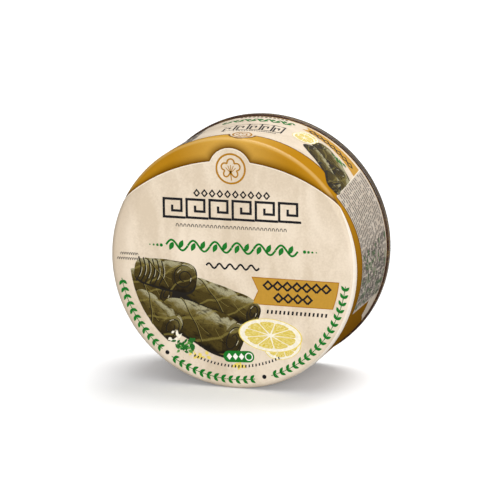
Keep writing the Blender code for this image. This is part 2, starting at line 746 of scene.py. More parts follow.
@dataclass
class Turned:
    """Closed solid of revolution about the tin's axis, from an outline that starts and ends on it."""

    tin: TinForm
    name: str
    outline: list[Point]

    def build(self, material: Material, slot: Slot, replaced: str) -> None:
        """Turn the outline's (distance, y) points.

        Args:
            material: Finish of the piece.
            slot: Its material slot.
            replaced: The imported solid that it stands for.
        """
        bm = bmesh.new()
        rings = []
        for reach, y in self.outline:
            ring = []
            for step in range(SKIN_SEGMENTS if reach > 0.0 else 1):
                angle = 2 * math.pi * step / SKIN_SEGMENTS
                z = max(0.0, self.tin.axis_z + reach * math.sin(angle))
                ring.append(bm.verts.new((reach * math.cos(angle), y, z)))
            rings.append(ring)
        for first, second in zip(rings, rings[1:]):
            join_rings(bm, first, second)
        bmesh.ops.recalc_face_normals(bm, faces=bm.faces)
        piece = from_bmesh(self.name, bm, material)
        piece.data.set_sharp_from_angle(angle=CREASE)
        settle(piece, slot, replaced)


# Outlines


def evenly(start: float, end: float, steps: int) -> list[float]:
    """List even steps from start to end, both included."""
    return [start + (end - start) * step / steps for step in range(steps + 1)]


def curve(centre: Point, radii: Point, start: float, end: float, steps: int) -> Outline:
    """List the points of an elliptic arc, both ends included, with angles in degrees."""
    return [around(centre, radii, 1.0, math.radians(angle)) for angle in evenly(start, end, steps)]


def around(centre: Point, radii: Point, share: float, turn: float) -> Point:
    """Return the point at a share of an ellipse's radii, at an angle in radians."""
    return centre[0] + radii[0] * share * math.cos(turn), centre[1] + radii[1] * share * math.sin(turn)


def oval(centre: Point, across: float, up: float) -> Outline:
    """Outline of a circle or an ellipse by its half width and half height."""
    return curve(centre, (across, up), 0.0, 345.0, 23)


def turned_by(points: Path, degrees: float, centre: Point = (0.0, 0.0)) -> Outline:
    """Turn points about the origin, then move them to a centre."""
    cos, sin = math.cos(math.radians(degrees)), math.sin(math.radians(degrees))
    return [(centre[0] + x * cos - z * sin, centre[1] + x * sin + z * cos) for x, z in points]


def wave_line(length: float, swing: float, steps: int) -> Outline:
    """List the points of one wave that starts at the origin and runs along x."""
    return [(length * step / steps, swing * math.sin(math.tau * step / steps)) for step in range(steps + 1)]


def leaf_outline(length: float, width: float, steps: int = 8) -> Outline:
    """Outline of a plain pointed leaf that starts at the origin and grows along x.

    Args:
        length: Length of the leaf.
        width: Its width.
        steps: Number of steps from stalk to tip.

    Returns:
        The corners in order.
    """
    upper = []
    for share in evenly(0.0, 1.0, steps):
        swell = math.sin(math.pi * share) ** 0.85 * (1.15 - 0.4 * share)
        upper.append((length * share, width / 2 * swell))
    return [(x, -z) for x, z in upper] + [(x, z) for x, z in reversed(upper[1:-1])]


def vine_leaf_outline(size: float, steps: int = 60) -> Outline:
    """Outline of a five-lobed leaf with its stalk notch at the bottom.

    Args:
        size: Distance from its middle to the tips of its lobes.
        steps: Number of corners.

    Returns:
        The corners in order.
    """
    points = []
    for step in range(steps):
        angle = math.radians(-90.0 + 360.0 * (step + 0.5) / steps)
        lobe = abs(math.cos(2.5 * (angle - math.pi / 2))) ** 0.75
        notch = 1.0 - 0.55 * math.exp(-((math.sin((angle + math.pi / 2) / 2) / 0.16) ** 2))
        reach = size * (0.58 + 0.42 * lobe) * notch
        points.append((reach * math.cos(angle), reach * math.sin(angle)))
    return points


def signed_area(points: Path) -> float:
    """Return twice the signed area of an outline."""
    return sum(x0 * z1 - x1 * z0 for (x0, z0), (x1, z1) in zip(points, [*points[1:], points[0]]))


def stroke_pairs(path: Path, width: float, closed: bool = False) -> Pairs:
    """List the two edges of a line of even width, mitred at its corners.

    Args:
        path: Points of the line's middle.
        width: Width of the line.
        closed: Whether the path returns to its start.

    Returns:
        Pairs of points across the line, one for each point of the path.
    """
    points = [Vector(point) for point in path]
    ways = [(after - point).normalized() for point, after in zip(points, points[1:] + points[:1])]
    if not closed:
        ways[-1] = ways[-2]
    pairs = []
    for index, (point, out) in enumerate(zip(points, ways)):
        into = ways[index - 1] if index or closed else out
        along = (into + out).normalized() if (into + out).length > 1e-6 else out
        side = Vector((-along.y, along.x))
        stretch = 1.0 / max(0.4, side.dot(Vector((-out.y, out.x))))
        offset = side * (width / 2 * stretch)
        pairs.append((tuple(point + offset), tuple(point - offset)))
    return pairs + pairs[:1] if closed else pairs


def lying(point: Point) -> Place:
    """Return a point of a print laid flat, in metres."""
    return point[0] * MM, point[1] * MM, 0.0


def facing(point: Point) -> Place:
    """Return a point of a print that faces -Y, in metres."""
    return point[0] * MM, 0.0, point[1] * MM


def add_band(bm: BMesh, pairs: Pairs, at: Callable[[Point], Place]) -> None:
    """Add a band of faces between pairs of points across it.

    Args:
        bm: The bmesh that takes the faces.
        pairs: Points across the band.
        at: Function that gives a point its place.
    """
    rows = [[bm.verts.new(at(point)) for point in pair] for pair in pairs]
    for (a, b), (c, d) in zip(rows, rows[1:]):
        bm.faces.new((a, b, d, c))


# Ink


class Inkwork:
    """Sheets of one finish, gathered into one piece that follows the metal."""

    UV_NAME = "print"

    def __init__(self, tin: TinForm, name: str, material: Material, ground: Ground = Ground.FACE) -> None:
        """Start an empty piece.

        Args:
            tin: The form that the ink lies on.
            name: Name of the piece.
            material: Its finish.
            ground: Part of the tin that its shapes are drawn for.
        """
        self.tin = tin
        self.name = name
        self.material = material
        self.ground = ground
        self.bm = bmesh.new()
        self.uv = self.bm.loops.layers.uv.new(self.UV_NAME)

    def shape(self, outline: Path, layer: float, uv: UvMap | None = None) -> None:
        """Lay one filled outline on the metal.

        Args:
            outline: Its corners.
            layer: Number of the ink layer.
            uv: Map from a point of the print to the piece's UV map.
        """
        flat = bmesh.new()
        flat.faces.new([flat.verts.new(lying(point)) for point in outline])
        if self.ground is Ground.WALL:
            self._slice(flat, [x * MM for x, _ in outline])
        bmesh.ops.triangulate(flat, faces=flat.faces)
        self._lay(flat, layer, uv)

    def strip(self, pairs: Pairs, layer: float) -> None:
        """Lay a band given by pairs of points across it.

        Args:
            pairs: Points across the band.
            layer: Number of the ink layer.
        """
        flat = bmesh.new()
        add_band(flat, pairs, lying)
        self._lay(flat, layer)

    def stroke(self, path: Path, width: float, layer: float, closed: bool = False) -> None:
        """Draw a line of even width along a path."""
        self.strip(stroke_pairs(path, width, closed), layer)

    def _slice(self, flat: BMesh, arcs: Sequence[float]) -> None:
        """Cut a flat sheet into strips narrow enough to bend round the wall.

        Args:
            flat: The sheet.
            arcs: Arc lengths of its corners, in metres.
        """
        step = WRAP_STEP * self.tin.radius
        for index in range(math.ceil(min(arcs) / step), math.floor(max(arcs) / step) + 1):
            parts = list(flat.verts) + list(flat.edges) + list(flat.faces)
            cut = {"plane_co": (index * step, 0.0, 0.0), "plane_no": (1.0, 0.0, 0.0)}
            bmesh.ops.bisect_plane(flat, geom=parts, dist=1e-7, **cut)

    def _lay(self, flat: BMesh, layer: float, uv: UvMap | None = None) -> None:
        """Move a flat sheet onto the metal with its faces outwards, and free it.

        Args:
            flat: The sheet.
            layer: Number of the ink layer.
            uv: Map from a point of the print to the piece's UV map.
        """
        made = {vert: self.bm.verts.new(self._place(vert.co, layer)) for vert in flat.verts}
        for face in flat.faces:
            verts = list(face.verts)
            twisted = face.calc_area() > 0 and signed_area([vert.co.xy for vert in verts]) < 0
            if twisted is (self.ground is Ground.FACE):
                verts.reverse()
            laid = self.bm.faces.new([made[vert] for vert in verts])
            laid.smooth = True
            for loop, vert in zip(laid.loops, verts):
                loop[self.uv].uv = uv(vert.co.xy / MM) if uv else vert.co.xy / self.tin.radius
        flat.free()

    def _place(self, spot: Vector, layer: float) -> Vector:
        """Find where a point of a flat sheet goes.

        Args:
            spot: The point, in metres.
            layer: Number of the ink layer.

        Returns:
            Its place on the metal.
        """
        if self.ground is Ground.FACE:
            return self.tin.at(math.hypot(spot.x, spot.y), math.atan2(spot.y, spot.x), layer)
        return self.tin.at(spot.y, spot.x / self.tin.radius, layer)

    def build(self) -> None:
        """Finish the piece and let it ride with the tin."""
        settle(from_bmesh(self.name, self.bm, self.material), Slot.PRINT)


# What repeats


@dataclass(frozen=True)
class Motif:
    """Small flat shape that a row repeats, drawn about the origin."""

    name: str
    shapes: Sequence[Outline] = ()
    lines: Sequence[tuple[Path, float]] = ()

    def source(self) -> Piece:
        """Make the object that the row's tree copies, facing -Y.

        Returns:
            The new object.
        """
        bm = bmesh.new()
        for outline in self.shapes:
            corners = [bm.verts.new(facing(point)) for point in outline]
            bm.faces.new(corners if signed_area(outline) > 0 else corners[::-1])
        for path, width in self.lines:
            add_band(bm, stroke_pairs(path, width), facing)
        bmesh.ops.triangulate(bm, faces=bm.faces)
        return from_bmesh(self.name, bm)


@dataclass(frozen=True)
class Row:
    """Where a row's copies go: along a line, round an arc in degrees, or both, and how they grow."""

    count: int
    origin: Point = (0.0, 0.0)
    step: Point = (0.0, 0.0)
    radius: float = 0.0
    start_angle: float = -90.0
    angle_step: float = 0.0
    size: float = 1.0
    size_step: float = 0.0
    layer: float = 2.0


class CopyTree:
    """Geometry Nodes tree that lays copies out and gives them one finish."""

    NAME = "copies"
    SOCKETS: dict[str, tuple[str, ...]] = {}

    def __init__(self) -> None:
        """Name the inputs, let the kind of tree lay its copies out, then realize and dress them."""
        self.tree = bpy.data.node_groups.new(self.NAME, "GeometryNodeTree")
        self.ids: dict[str, str] = {}
        sockets = self.tree.interface
        for kind, names in self.SOCKETS.items():
            for name in names:
                socket = sockets.new_socket(name=name, in_out="INPUT", socket_type=f"NodeSocket{kind}")
                self.ids[name] = socket.identifier
        sockets.new_socket(name="Geometry", in_out="OUTPUT", socket_type="NodeSocketGeometry")
        board = NodeBoard(self.tree)
        given = board.add("NodeGroupInput").outputs
        inputs, turn = self.layout(board, given)
        inputs["Rotation"] = board.add("FunctionNodeEulerToRotation", {0: board.vector(y=turn)}).outputs[0]
        copies = board.add("GeometryNodeInstanceOnPoints", inputs).outputs[0]
        real = board.add("GeometryNodeRealizeInstances", {0: copies}).outputs[0]
        dressed = board.add("GeometryNodeSetMaterial", {0: real, "Material": given["Finish"]}).outputs[0]
        board.add("NodeGroupOutput", {0: dressed})

    def layout(self, board: NodeBoard, given: Sequence[Socket]) -> tuple[dict[str, object], Socket]:
        """Lay the copies out and return their node's inputs and their turn about y."""
        raise NotImplementedError

    def bake(self, values: dict[str, object]) -> bpy.types.Mesh:
        """Run the tree.

        Args:
            values: Values by the input's name.

        Returns:
            The result as a plain mesh.
        """
        holder = placed(self.NAME, bpy.data.meshes.new(self.NAME))
        modifier = holder.modifiers.new("tree", "NODES")
        modifier.node_group = self.tree
        for name, value in values.items():
            modifier[self.ids[name]] = value
        graph = bpy.context.evaluated_depsgraph_get()
        mesh = bpy.data.meshes.new_from_object(holder.evaluated_get(graph), depsgraph=graph)
        holder.modifiers.remove(modifier)
        bpy.data.objects.remove(holder, do_unlink=True)
        return mesh


class RowTree(CopyTree):
    """Tree that repeats a motif along a line or an arc of the face."""

    NAME = "motif_row"
    SOCKETS = {
        "Int": ("Count",),
        "Vector": ("Origin", "Step"),
        "Float": ("Radius", "Start Angle", "Angle Step", "Size", "Size Step"),
        "Object": ("Motif",),
        "Material": ("Finish",),
    }

    def layout(self, board: NodeBoard, given: Sequence[Socket]) -> tuple[dict[str, object], Socket]:
        """Copy the motif along the line, shifted round the arc, upright to it.

        Args:
            board: Board of the tree.
            given: The tree's own inputs.

        Returns:
            What the node that makes the copies takes, and the copies' turn about y.
        """
        ends = {"Count": given["Count"], "Start Location": given["Origin"], "Offset": given["Step"]}
        line = board.add("GeometryNodeMeshLine", ends, mode="OFFSET").outputs[0]
        index = board.add("GeometryNodeInputIndex").outputs[0]
        angle = board.math("MULTIPLY_ADD", index, given["Angle Step"], given["Start Angle"])
        across, upward = board.turned(angle, given["Radius"])
        offset = board.vector(x=across, z=upward)
        moved = board.add("GeometryNodeSetPosition", {"Geometry": line, "Offset": offset}).outputs[0]
        size = board.math("MULTIPLY_ADD", index, given["Size Step"], given["Size"])
        source = board.add("GeometryNodeObjectInfo", {"Object": given["Motif"]}).outputs["Geometry"]
        turn = board.times(board.math("ADD", angle, math.pi / 2), -1.0)
        return {"Points": moved, "Instance": source, "Scale": board.vector(x=size, y=size, z=size)}, turn

    def lay(self, tin: TinForm, name: str, motif: Motif, material: Material, rows: Sequence[Row]) -> None:
        """Repeat a motif along rows of the face and make one plain piece of them.

        Args:
            tin: The form whose face carries the rows.
            name: Name of the piece.
            motif: The shape that repeats.
            material: Its finish.
            rows: Where the copies go.
        """
        source = motif.source()
        baked = []
        for row in rows:
            y = tin.front_y + INSET - row.layer * LAYER
            values = {
                "Count": row.count,
                "Origin": (row.origin[0] * MM, y, tin.axis_z + row.origin[1] * MM),
                "Step": facing(row.step),
                "Radius": row.radius * MM,
                "Start Angle": math.radians(row.start_angle),
                "Angle Step": math.radians(row.angle_step),
                "Size": row.size,
                "Size Step": row.size_step,
                "Motif": source,
                "Finish": material,
            }
            baked.append(self.bake(values))
        bpy.data.objects.remove(source, do_unlink=True)
        joined(name, material, baked)


class SmallPrintTree(CopyTree):
    """Tree that lays rows of dashes, like small print, round the wall."""

    NAME = "small_print"
    SOCKETS = {
        "Int": ("Rows", "Columns", "Seed"),
        "Float": (
            "Start Angle", "Angle Step", "Slant", "Far Slant", "Front", "Bend", "Turn", "Rear", "First",
            "Dash Height", "Shortest", "Longest", "Share", "Reach", "Axis Height",
        ),
        "Material": ("Finish",),
    }
    JITTER = 0.28

    def layout(self, board: NodeBoard, given: Sequence[Socket]) -> tuple[dict[str, object], Socket]:
        """Number the dashes by row and column and bend them round the wall between two edges.

        Args:
            board: Board of the tree.
            given: The tree's own inputs.

        Returns:
            What the node that makes the copies takes, and the copies' turn about y.
        """
        count = board.times(given["Rows"], given["Columns"])
        ends = {"Count": count, "Offset": (0.0, 0.0, 0.0)}
        line = board.add("GeometryNodeMeshLine", ends, mode="OFFSET").outputs[0]
        index = board.add("GeometryNodeInputIndex").outputs[0]
        row = board.math("FLOOR", board.math("DIVIDE", index, given["Columns"]))
        column = board.minus(index, board.times(row, given["Columns"]))
        shift = self._random(board, given["Seed"], -self.JITTER, self.JITTER)
        share = board.math("DIVIDE", board.math("ADD", row, given["First"]), given["Rows"])
        passed = board.math("DIVIDE", column, given["Columns"])
        change = board.minus(given["Far Slant"], given["Slant"])
        lean = board.times(share, board.math("MULTIPLY_ADD", passed, change, given["Slant"]))
        shifted = board.math("ADD", column, shift)
        level = board.math("MULTIPLY_ADD", shifted, given["Angle Step"], given["Start Angle"])
        angle = board.math("ADD", level, lean)
        swing = board.minus(board.math("COSINE", board.math("ADD", angle, given["Turn"])), 1.0)
        front = board.math("ADD", given["Front"], board.times(swing, given["Bend"]))
        along = board.math("MULTIPLY_ADD", board.minus(given["Rear"], front), share, front)
        across, upward = board.turned(angle, given["Reach"])
        place = board.vector(x=across, y=along, z=board.math("ADD", upward, given["Axis Height"]))
        moved = board.add("GeometryNodeSetPosition", {"Geometry": line, "Position": place}).outputs[0]
        seed = board.math("ADD", given["Seed"], 1.0)
        length = self._random(board, seed, given["Shortest"], given["Longest"])
        chance = {"Probability": given["Share"], "Seed": board.math("ADD", given["Seed"], 2.0)}
        kept = board.add("FunctionNodeRandomValue", chance, data_type="BOOLEAN").outputs[3]
        sizes = {"Size X": 1.0, "Size Y": 1.0, "Vertices X": 3, "Vertices Y": 2}
        dash = board.add("GeometryNodeMeshGrid", sizes).outputs[0]
        scale = board.vector(x=length, y=given["Dash Height"], z=1.0)
        turn = board.minus(math.pi / 2, angle)
        return {"Points": moved, "Selection": kept, "Instance": dash, "Scale": scale}, turn

    def _random(self, board: NodeBoard, seed: Socket, low: object, high: object) -> Socket:
        """Return a random number between two bounds for each dash."""
        inputs = {2: low, 3: high, "Seed": seed}
        return board.add("FunctionNodeRandomValue", inputs, data_type="FLOAT").outputs[1]


def joined(name: str, material: Material, meshes: Sequence[bpy.types.Mesh]) -> None:
    """Join meshes of one finish into one piece that rides with the tin.

    Args:
        name: Name of the piece.
        material: Its finish.
        meshes: What it is made of.
    """
    bm = bmesh.new()
    for mesh in meshes:
        bm.from_mesh(mesh)
    for face in bm.faces:
        face.material_index = 0
    settle(from_bmesh(name, bm, material), Slot.PRINT)


# Fields of colour


@dataclass(frozen=True)
class CreamField:
    """Cream sheet of the face: a wide arc with a round badge on top, cut off by the rim."""

    tin: TinForm
    rounds: tuple[tuple[Point, float], ...] = (((1.0, -26.6), 67.4), ((-0.3, 37.2), 8.6))
    rim_run: float = 50.8
    edge_width: float = 0.45
    # The rim line is a painted highlight on the right of the rim.
    rim_width: float = 2.2
    rim_start: float = -64.0
    rim_pitch: float = 0.8
    rim_steps: int = 120
    rim_parts: int = 5
    spokes: int = 720
    rings: int = 26

    def reach(self, angle: float) -> float:
        """Return how far the sheet runs from the middle of the face at an angle."""
        return min(self.rim_run, max(self._far_side(angle, *part) for part in self.rounds))

    def _far_side(self, angle: float, centre: Point, radius: float) -> float:
        """Find where a ray from the middle of the face leaves a circle.

        Args:
            angle: Angle of the ray.
            centre: Middle of the circle.
            radius: Its radius.

        Returns:
            The run along the ray, or 0 if it misses.
        """
        along = math.cos(angle) * centre[0] + math.sin(angle) * centre[1]
        inside = along**2 - centre[0] ** 2 - centre[1] ** 2 + radius**2
        return along + math.sqrt(inside) if inside > 0.0 else 0.0

    def build(self, parchment: Material, pale: Material, bright: Material) -> None:
        """Lay the sheet, the pale line along its arc and a painted highlight, the brighter line on the right
        of the rim.

        Args:
            parchment: Finish of the sheet.
            pale: Finish of the arc's line.
            bright: Finish of the painted highlight along the rim.
        """
        sheet = Inkwork(self.tin, "cream_field", parchment)
        angles = [math.tau * step / self.spokes for step in range(self.spokes)]
        runs = [(angle, self.reach(angle)) for angle in angles]
        inner = [sheet.bm.verts.new(self.tin.at(0.0, 0.0, 1))]
        outwards = [1.0 - 0.24 * (1.0 - step / self.rings) ** 1.6 for step in range(self.rings + 1)]
        for share in (0.35, 0.7, *outwards):
            ring = [sheet.bm.verts.new(self.tin.at(run * share * MM, angle, 1)) for angle, run in runs]
            join_rings(sheet.bm, inner, ring)
            inner = ring
        sheet.build()
        line = Inkwork(self.tin, "cream_edge_line", pale)
        arc = [self._pair(angle, run, self.edge_width) for angle, run in runs if run < self.rim_run]
        line.strip(arc, 2)
        line.build()
        # Painted highlight: a brighter line that swells along the right of the rim.
        rim = Inkwork(self.tin, "cream_rim_line", bright)
        for part in range(self.rim_parts):
            pairs = []
            for step in range(self.rim_steps + 1):
                angle = math.radians(self.rim_start + self.rim_pitch * step)
                swell = max(0.01, math.sin(math.pi * step / self.rim_steps) ** 0.5)
                width = self.rim_width * swell / self.rim_parts
                pairs.append(self._pair(angle, self.reach(angle) - part * width, width))
            rim.strip(pairs, 1.6)
        rim.build()

    def _pair(self, angle: float, reach: float, width: float) -> tuple[Point, Point]:
        """Return the outer and inner point of an edge line at an angle."""
        outer, inner = ((run * math.cos(angle), run * math.sin(angle)) for run in (reach, reach - width))
        return outer, inner


@dataclass(frozen=True)
class Pennant:
    """Gold swallow-tailed pennant over a slightly larger dark edge."""

    tin: TinForm
    top_z: float = -4.3
    bottom_z: float = -15.2
    left_x: float = 7.9
    notch_x: float = 10.5
    right_radius: float = 43.4
    border: float = 0.35

    def build(self, gold: Material, deep_gold: Material) -> None:
        """Lay the edge, then the pennant.

        Args:
            gold: Finish of the pennant.
            deep_gold: Finish of its edge.
        """
        sheets = (("pennant_edge", 0.0, 2, deep_gold), ("pennant", self.border, 3, gold))
        for name, grow, layer, material in sheets:
            piece = Inkwork(self.tin, name, material)
            piece.shape(self._outline(grow), layer)
            piece.build()

    def _outline(self, inwards: float) -> Outline:
        """Outline with every side moved inwards.

        Args:
            inwards: Distance that the sides are moved.

        Returns:
            The corners in order.
        """
        top, bottom = self.top_z - inwards, self.bottom_z + inwards
        right = [(math.sqrt((self.right_radius - inwards) ** 2 - z**2), z) for z in evenly(bottom, top, 6)]
        corner, notch = self.left_x + 1.6 * inwards, self.notch_x + 1.2 * inwards
        return right + [(corner, top), (notch, (top + bottom) / 2), (corner, bottom)]


# Food motifs


class FoodInks:
    """The pieces that a food picture is printed with."""

    def __init__(self, tin: TinForm, place: str, ground: Ground, clip: Callable[[Outline], Outline]) -> None:
        """Open one piece for each finish.

        Args:
            tin: The form that the picture lies on.
            place: Prefix of the pieces' names.
            ground: Part of the tin.
            clip: Function that keeps an outline inside the picture.
        """
        inks = {
            "leaf_folds": srgb(22, 15, 4),
            "leaf_rolls": LeafInk(),
            "leaf_ends": LeafInk("leaf_end_print", srgb(120, 110, 66), srgb(82, 69, 28), srgb(54, 43, 14)),
            "leaf_veins": srgb(134, 121, 62),
            "leaf_glints": srgb(190, 181, 150),
            "lemon_rind": srgb(240, 216, 104),
            "lemon_pith": srgb(250, 241, 220),
            "lemon_pulp": PulpInk(),
            "herbs": srgb(28, 104, 34),
            "herb_lights": srgb(92, 152, 70),
        }
        self.clip = clip
        self.pieces: dict[str, Inkwork] = {}
        for name, ink in inks.items():
            finish = FlatInk(f"{place}_{name}_ink", ink) if isinstance(ink, tuple) else ink
            self.pieces[name] = Inkwork(tin, f"{place}_{name}", finish.material(), ground)

    def scatter(
        self, draw: random.Random, centre: Point, reach: Point, count: int, layer: float, ink: str = ""
    ) -> None:
        """Strew small leaves or crumbs round a spot.

        Args:
            draw: Seeded random numbers.
            centre: Middle of the spot.
            reach: Half width and half height of the spot.
            count: Number of leaves.
            layer: Lowest print layer.
            ink: Piece that takes the leaves, or none for the herbs.
        """
        for index in range(count):
            leaf = leaf_outline(draw.uniform(1.5, 2.7), draw.uniform(0.9, 1.6), 5)
            spot = tuple(middle + draw.uniform(-far, far) for middle, far in zip(centre, reach))
            turned = turned_by(leaf, draw.uniform(0.0, 360.0), spot)
            piece = self.pieces[ink or ("herb_lights" if index % 3 == 2 else "herbs")]
            piece.shape(turned, layer + 0.012 * index)

    def build(self) -> None:
        """Finish every piece that has something on it."""
        for piece in self.pieces.values():
            if piece.bm.faces:
                piece.build()
            else:
                piece.bm.free()


@dataclass(frozen=True)
class LeafRoll:
    """Stuffed leaf parcel drawn as a tapered roll with a folded end.

    Its parts lie over one another by steps of RISE, counted in print layers.
    """

    RISE = 0.06
    centre: Point
    length: float
    width: float
    tilt: float
    layer: float
    end_side: int = 1
    phase: float = 0.0
    flare: float = 0.09
    opening: float = 0.46
    ribs: int = 0

    def draw(self, inks: FoodInks) -> None:
        """Draw shadow, body, last turn, folds and end.

        Args:
            inks: The pieces that the picture is printed with.
        """
        body = self._outline()
        shadow = self._lay(inks, [(x * 1.025 + 0.3, z * 1.06 - 0.45) for x, z in body])
        inks.pieces["leaf_folds"].shape(shadow, self.layer)
        inks.pieces["leaf_rolls"].shape(self._lay(inks, body), self.layer + self.RISE, self._own)
        self._flap(inks)
        self._folds(inks)
        self._end(inks)

    def _outline(self, steps: int = 72) -> Outline:
        """Outline of the roll: uneven long sides, taper and blunt ends.

        Args:
            steps: Number of corners.

        Returns:
            The corners about the roll's own middle, before it is tilted.
        """
        half, thick = self.length / 2, self.width / 2
        points = []
        for step in range(steps):
            angle = 2 * math.pi * step / steps
            cos, sin = math.cos(angle), math.sin(angle)
            x = half * math.copysign(abs(cos) ** 0.5, cos)
            taper = 1.0 + self.flare * self.end_side * x / half
            ripple = 1.0 + 0.022 * math.sin(7.0 * x / thick * 0.5 + self.phase)
            points.append((x, thick * math.copysign(abs(sin) ** 0.62, sin) * taper * ripple))
        return points

    def _own(self, spot: Point) -> Point:
        """Find a placed point along and across the roll, counted in its widths.

        Args:
            spot: The point.

        Returns:
            Its place in the UV map.
        """
        cos, sin = math.cos(math.radians(self.tilt)), math.sin(math.radians(self.tilt))
        x, z = spot[0] - self.centre[0], spot[1] - self.centre[1]
        along, across = x * cos + z * sin, -x * sin + z * cos
        return along / self.width + self.phase, across / self.width + 0.5

    def _lay(self, inks: FoodInks, points: Path) -> Outline:
        """Turn the roll's own points to where it lies, kept inside the picture."""
        return inks.clip(turned_by(points, self.tilt, self.centre))

    def _line(self, inks: FoodInks, ink: str, points: Path, width: float, steps: int) -> None:
        """Draw a line through the roll's own points, some steps above its shadow."""
        inks.pieces[ink].stroke(self._lay(inks, points), width, self.layer + steps * self.RISE)

    def _flap(self, inks: FoodInks) -> None:
        """Draw the edge of the leaf's last turn and its veins.

        Args:
            inks: The pieces that the picture is printed with.
        """
        thick, reach = self.width / 2, self.end_side * self.length
        edge = []
        for share in evenly(0.0, 1.0, 12):
            height = thick * (0.86 - 1.66 * share**1.3) + 0.04 * thick * math.sin(11.0 * share)
            edge.append((reach * (-0.34 + 0.42 * share), height))
        shade = [(x - 0.28 * self.end_side, z - 0.22) for x, z in edge]
        self._line(inks, "leaf_folds", shade, 0.34, 2)
        self._line(inks, "leaf_veins", edge, 0.2, 3)
        for start, run, swing in ((0.02, 0.3, 0.5), (-0.1, 0.22, -0.42), (0.16, 0.2, -0.55)):
            vein = [
                (reach * (start + run * share), thick * (0.12 + swing * math.sin(1.4 * share)))
                for share in evenly(0.0, 1.0, 8)
            ]
            self._line(inks, "leaf_veins", vein, 0.12, 2)

    def _folds(self, inks: FoodInks) -> None:
        """Draw gathered folds across the half of the roll that is away from its end.

        Args:
            inks: The pieces that the picture is printed with.
        """
        thick = self.width / 2
        for index in range(self.ribs):
            x = -self.end_side * self.length * (0.43 - 0.075 * index)
            fold = [(x + 0.16 * thick * math.cos(2.2 * z), 0.86 * thick * z) for z in evenly(-1.0, 1.0, 10)]
            glint = [(across + 0.42, up) for across, up in fold[2 + index % 2 : 7 + index % 3]]
            self._line(inks, "leaf_folds", fold, 0.5, 2)
            self._line(inks, "leaf_glints", glint, 0.22, 3)

    def _end(self, inks: FoodInks) -> None:
        """Draw the folded end with its dark turns and light glints.

        Args:
            inks: The pieces that the picture is printed with.
        """
        thick = self.width / 2 * (0.94 + 0.9 * self.flare)
        middle = (self.end_side * (self.length / 2 - 0.9 * self.opening * thick), -0.02 * thick)
        across, up = self.opening * thick, 0.9 * thick
        end = self._lay(inks, oval(middle, across, up))
        inks.pieces["leaf_ends"].shape(end, self.layer + 2 * self.RISE, self._own)
        turn = []
        for share in evenly(0.0, 1.0, 30):
            angle = math.radians(100.0 + 560.0 * share + 40.0 * self.phase)
            turn.append(around(middle, (across, up), 0.92 - 0.68 * share, angle))
        self._line(inks, "leaf_folds", turn, 0.42, 3)
        for start, sweep, share in ((55.0, 50.0, 0.94), (120.0, 34.0, 0.62), (-20.0, 30.0, 0.55)):
            glint = curve(middle, (across * share, up * share), start, start + sweep, 6)
            self._line(inks, "leaf_glints", glint, 0.26, 4)


@dataclass(frozen=True)
class LemonSlice:
    """Lemon slice seen a little from the side, with rind, pith and flesh."""

    centre: Point
    radii: Point
    tilt: float
    layer: float
    segments: int = 9
    rim_steps: int = 51

    def draw(self, inks: FoodInks) -> None:
        """Draw the rind, the pith and each segment of flesh.

        Args:
            inks: The pieces that the picture is printed with.
        """
        last = 360.0 - 360.0 / self.rim_steps
        for name, share, rise in (("lemon_rind", 1.0, 0.0), ("lemon_pith", 0.96, 0.04)):
            radii = (self.radii[0] * share, self.radii[1] * share)
            rim = curve((0.0, 0.0), radii, 0.0, last, self.rim_steps)
            inks.pieces[name].shape(turned_by(rim, self.tilt, self.centre), self.layer + rise)
        pitch = 360.0 / self.segments
        for index in range(self.segments):
            wedge = self._wedge(pitch * (index + 0.03), pitch * (index + 0.97))
            inks.pieces["lemon_pulp"].shape(wedge, self.layer + 0.08, self._own)

    def _wedge(self, start: float, end: float, inner: float = 0.09, outer: float = 0.8) -> Outline:
        """Outline of one segment with softened corners.

        Args:
            start: First angle, in degrees.
            end: Last angle.
            inner: Share of the slice's radius where it is pointed.
            outer: Share of the radius at its rim.

        Returns:
            The corners in order.
        """
        width = end - start
        corners = (
            (inner, start + 0.5 * width), (0.45, start + 0.02 * width), (0.93 * outer, start),
            (outer, start + 0.12 * width), (1.02 * outer, start + 0.5 * width),
            (outer, end - 0.12 * width), (0.93 * outer, end), (0.45, end - 0.02 * width),
        )
        points = [around((0.0, 0.0), self.radii, share, math.radians(angle)) for share, angle in corners]
        return turned_by(points, self.tilt, self.centre)

    def _own(self, spot: Point) -> Point:
        """Return a placed point with the slice's rim at a distance of 1."""
        x, z = turned_by([(spot[0] - self.centre[0], spot[1] - self.centre[1])], -self.tilt)[0]
        return x / self.radii[0], z / self.radii[1]


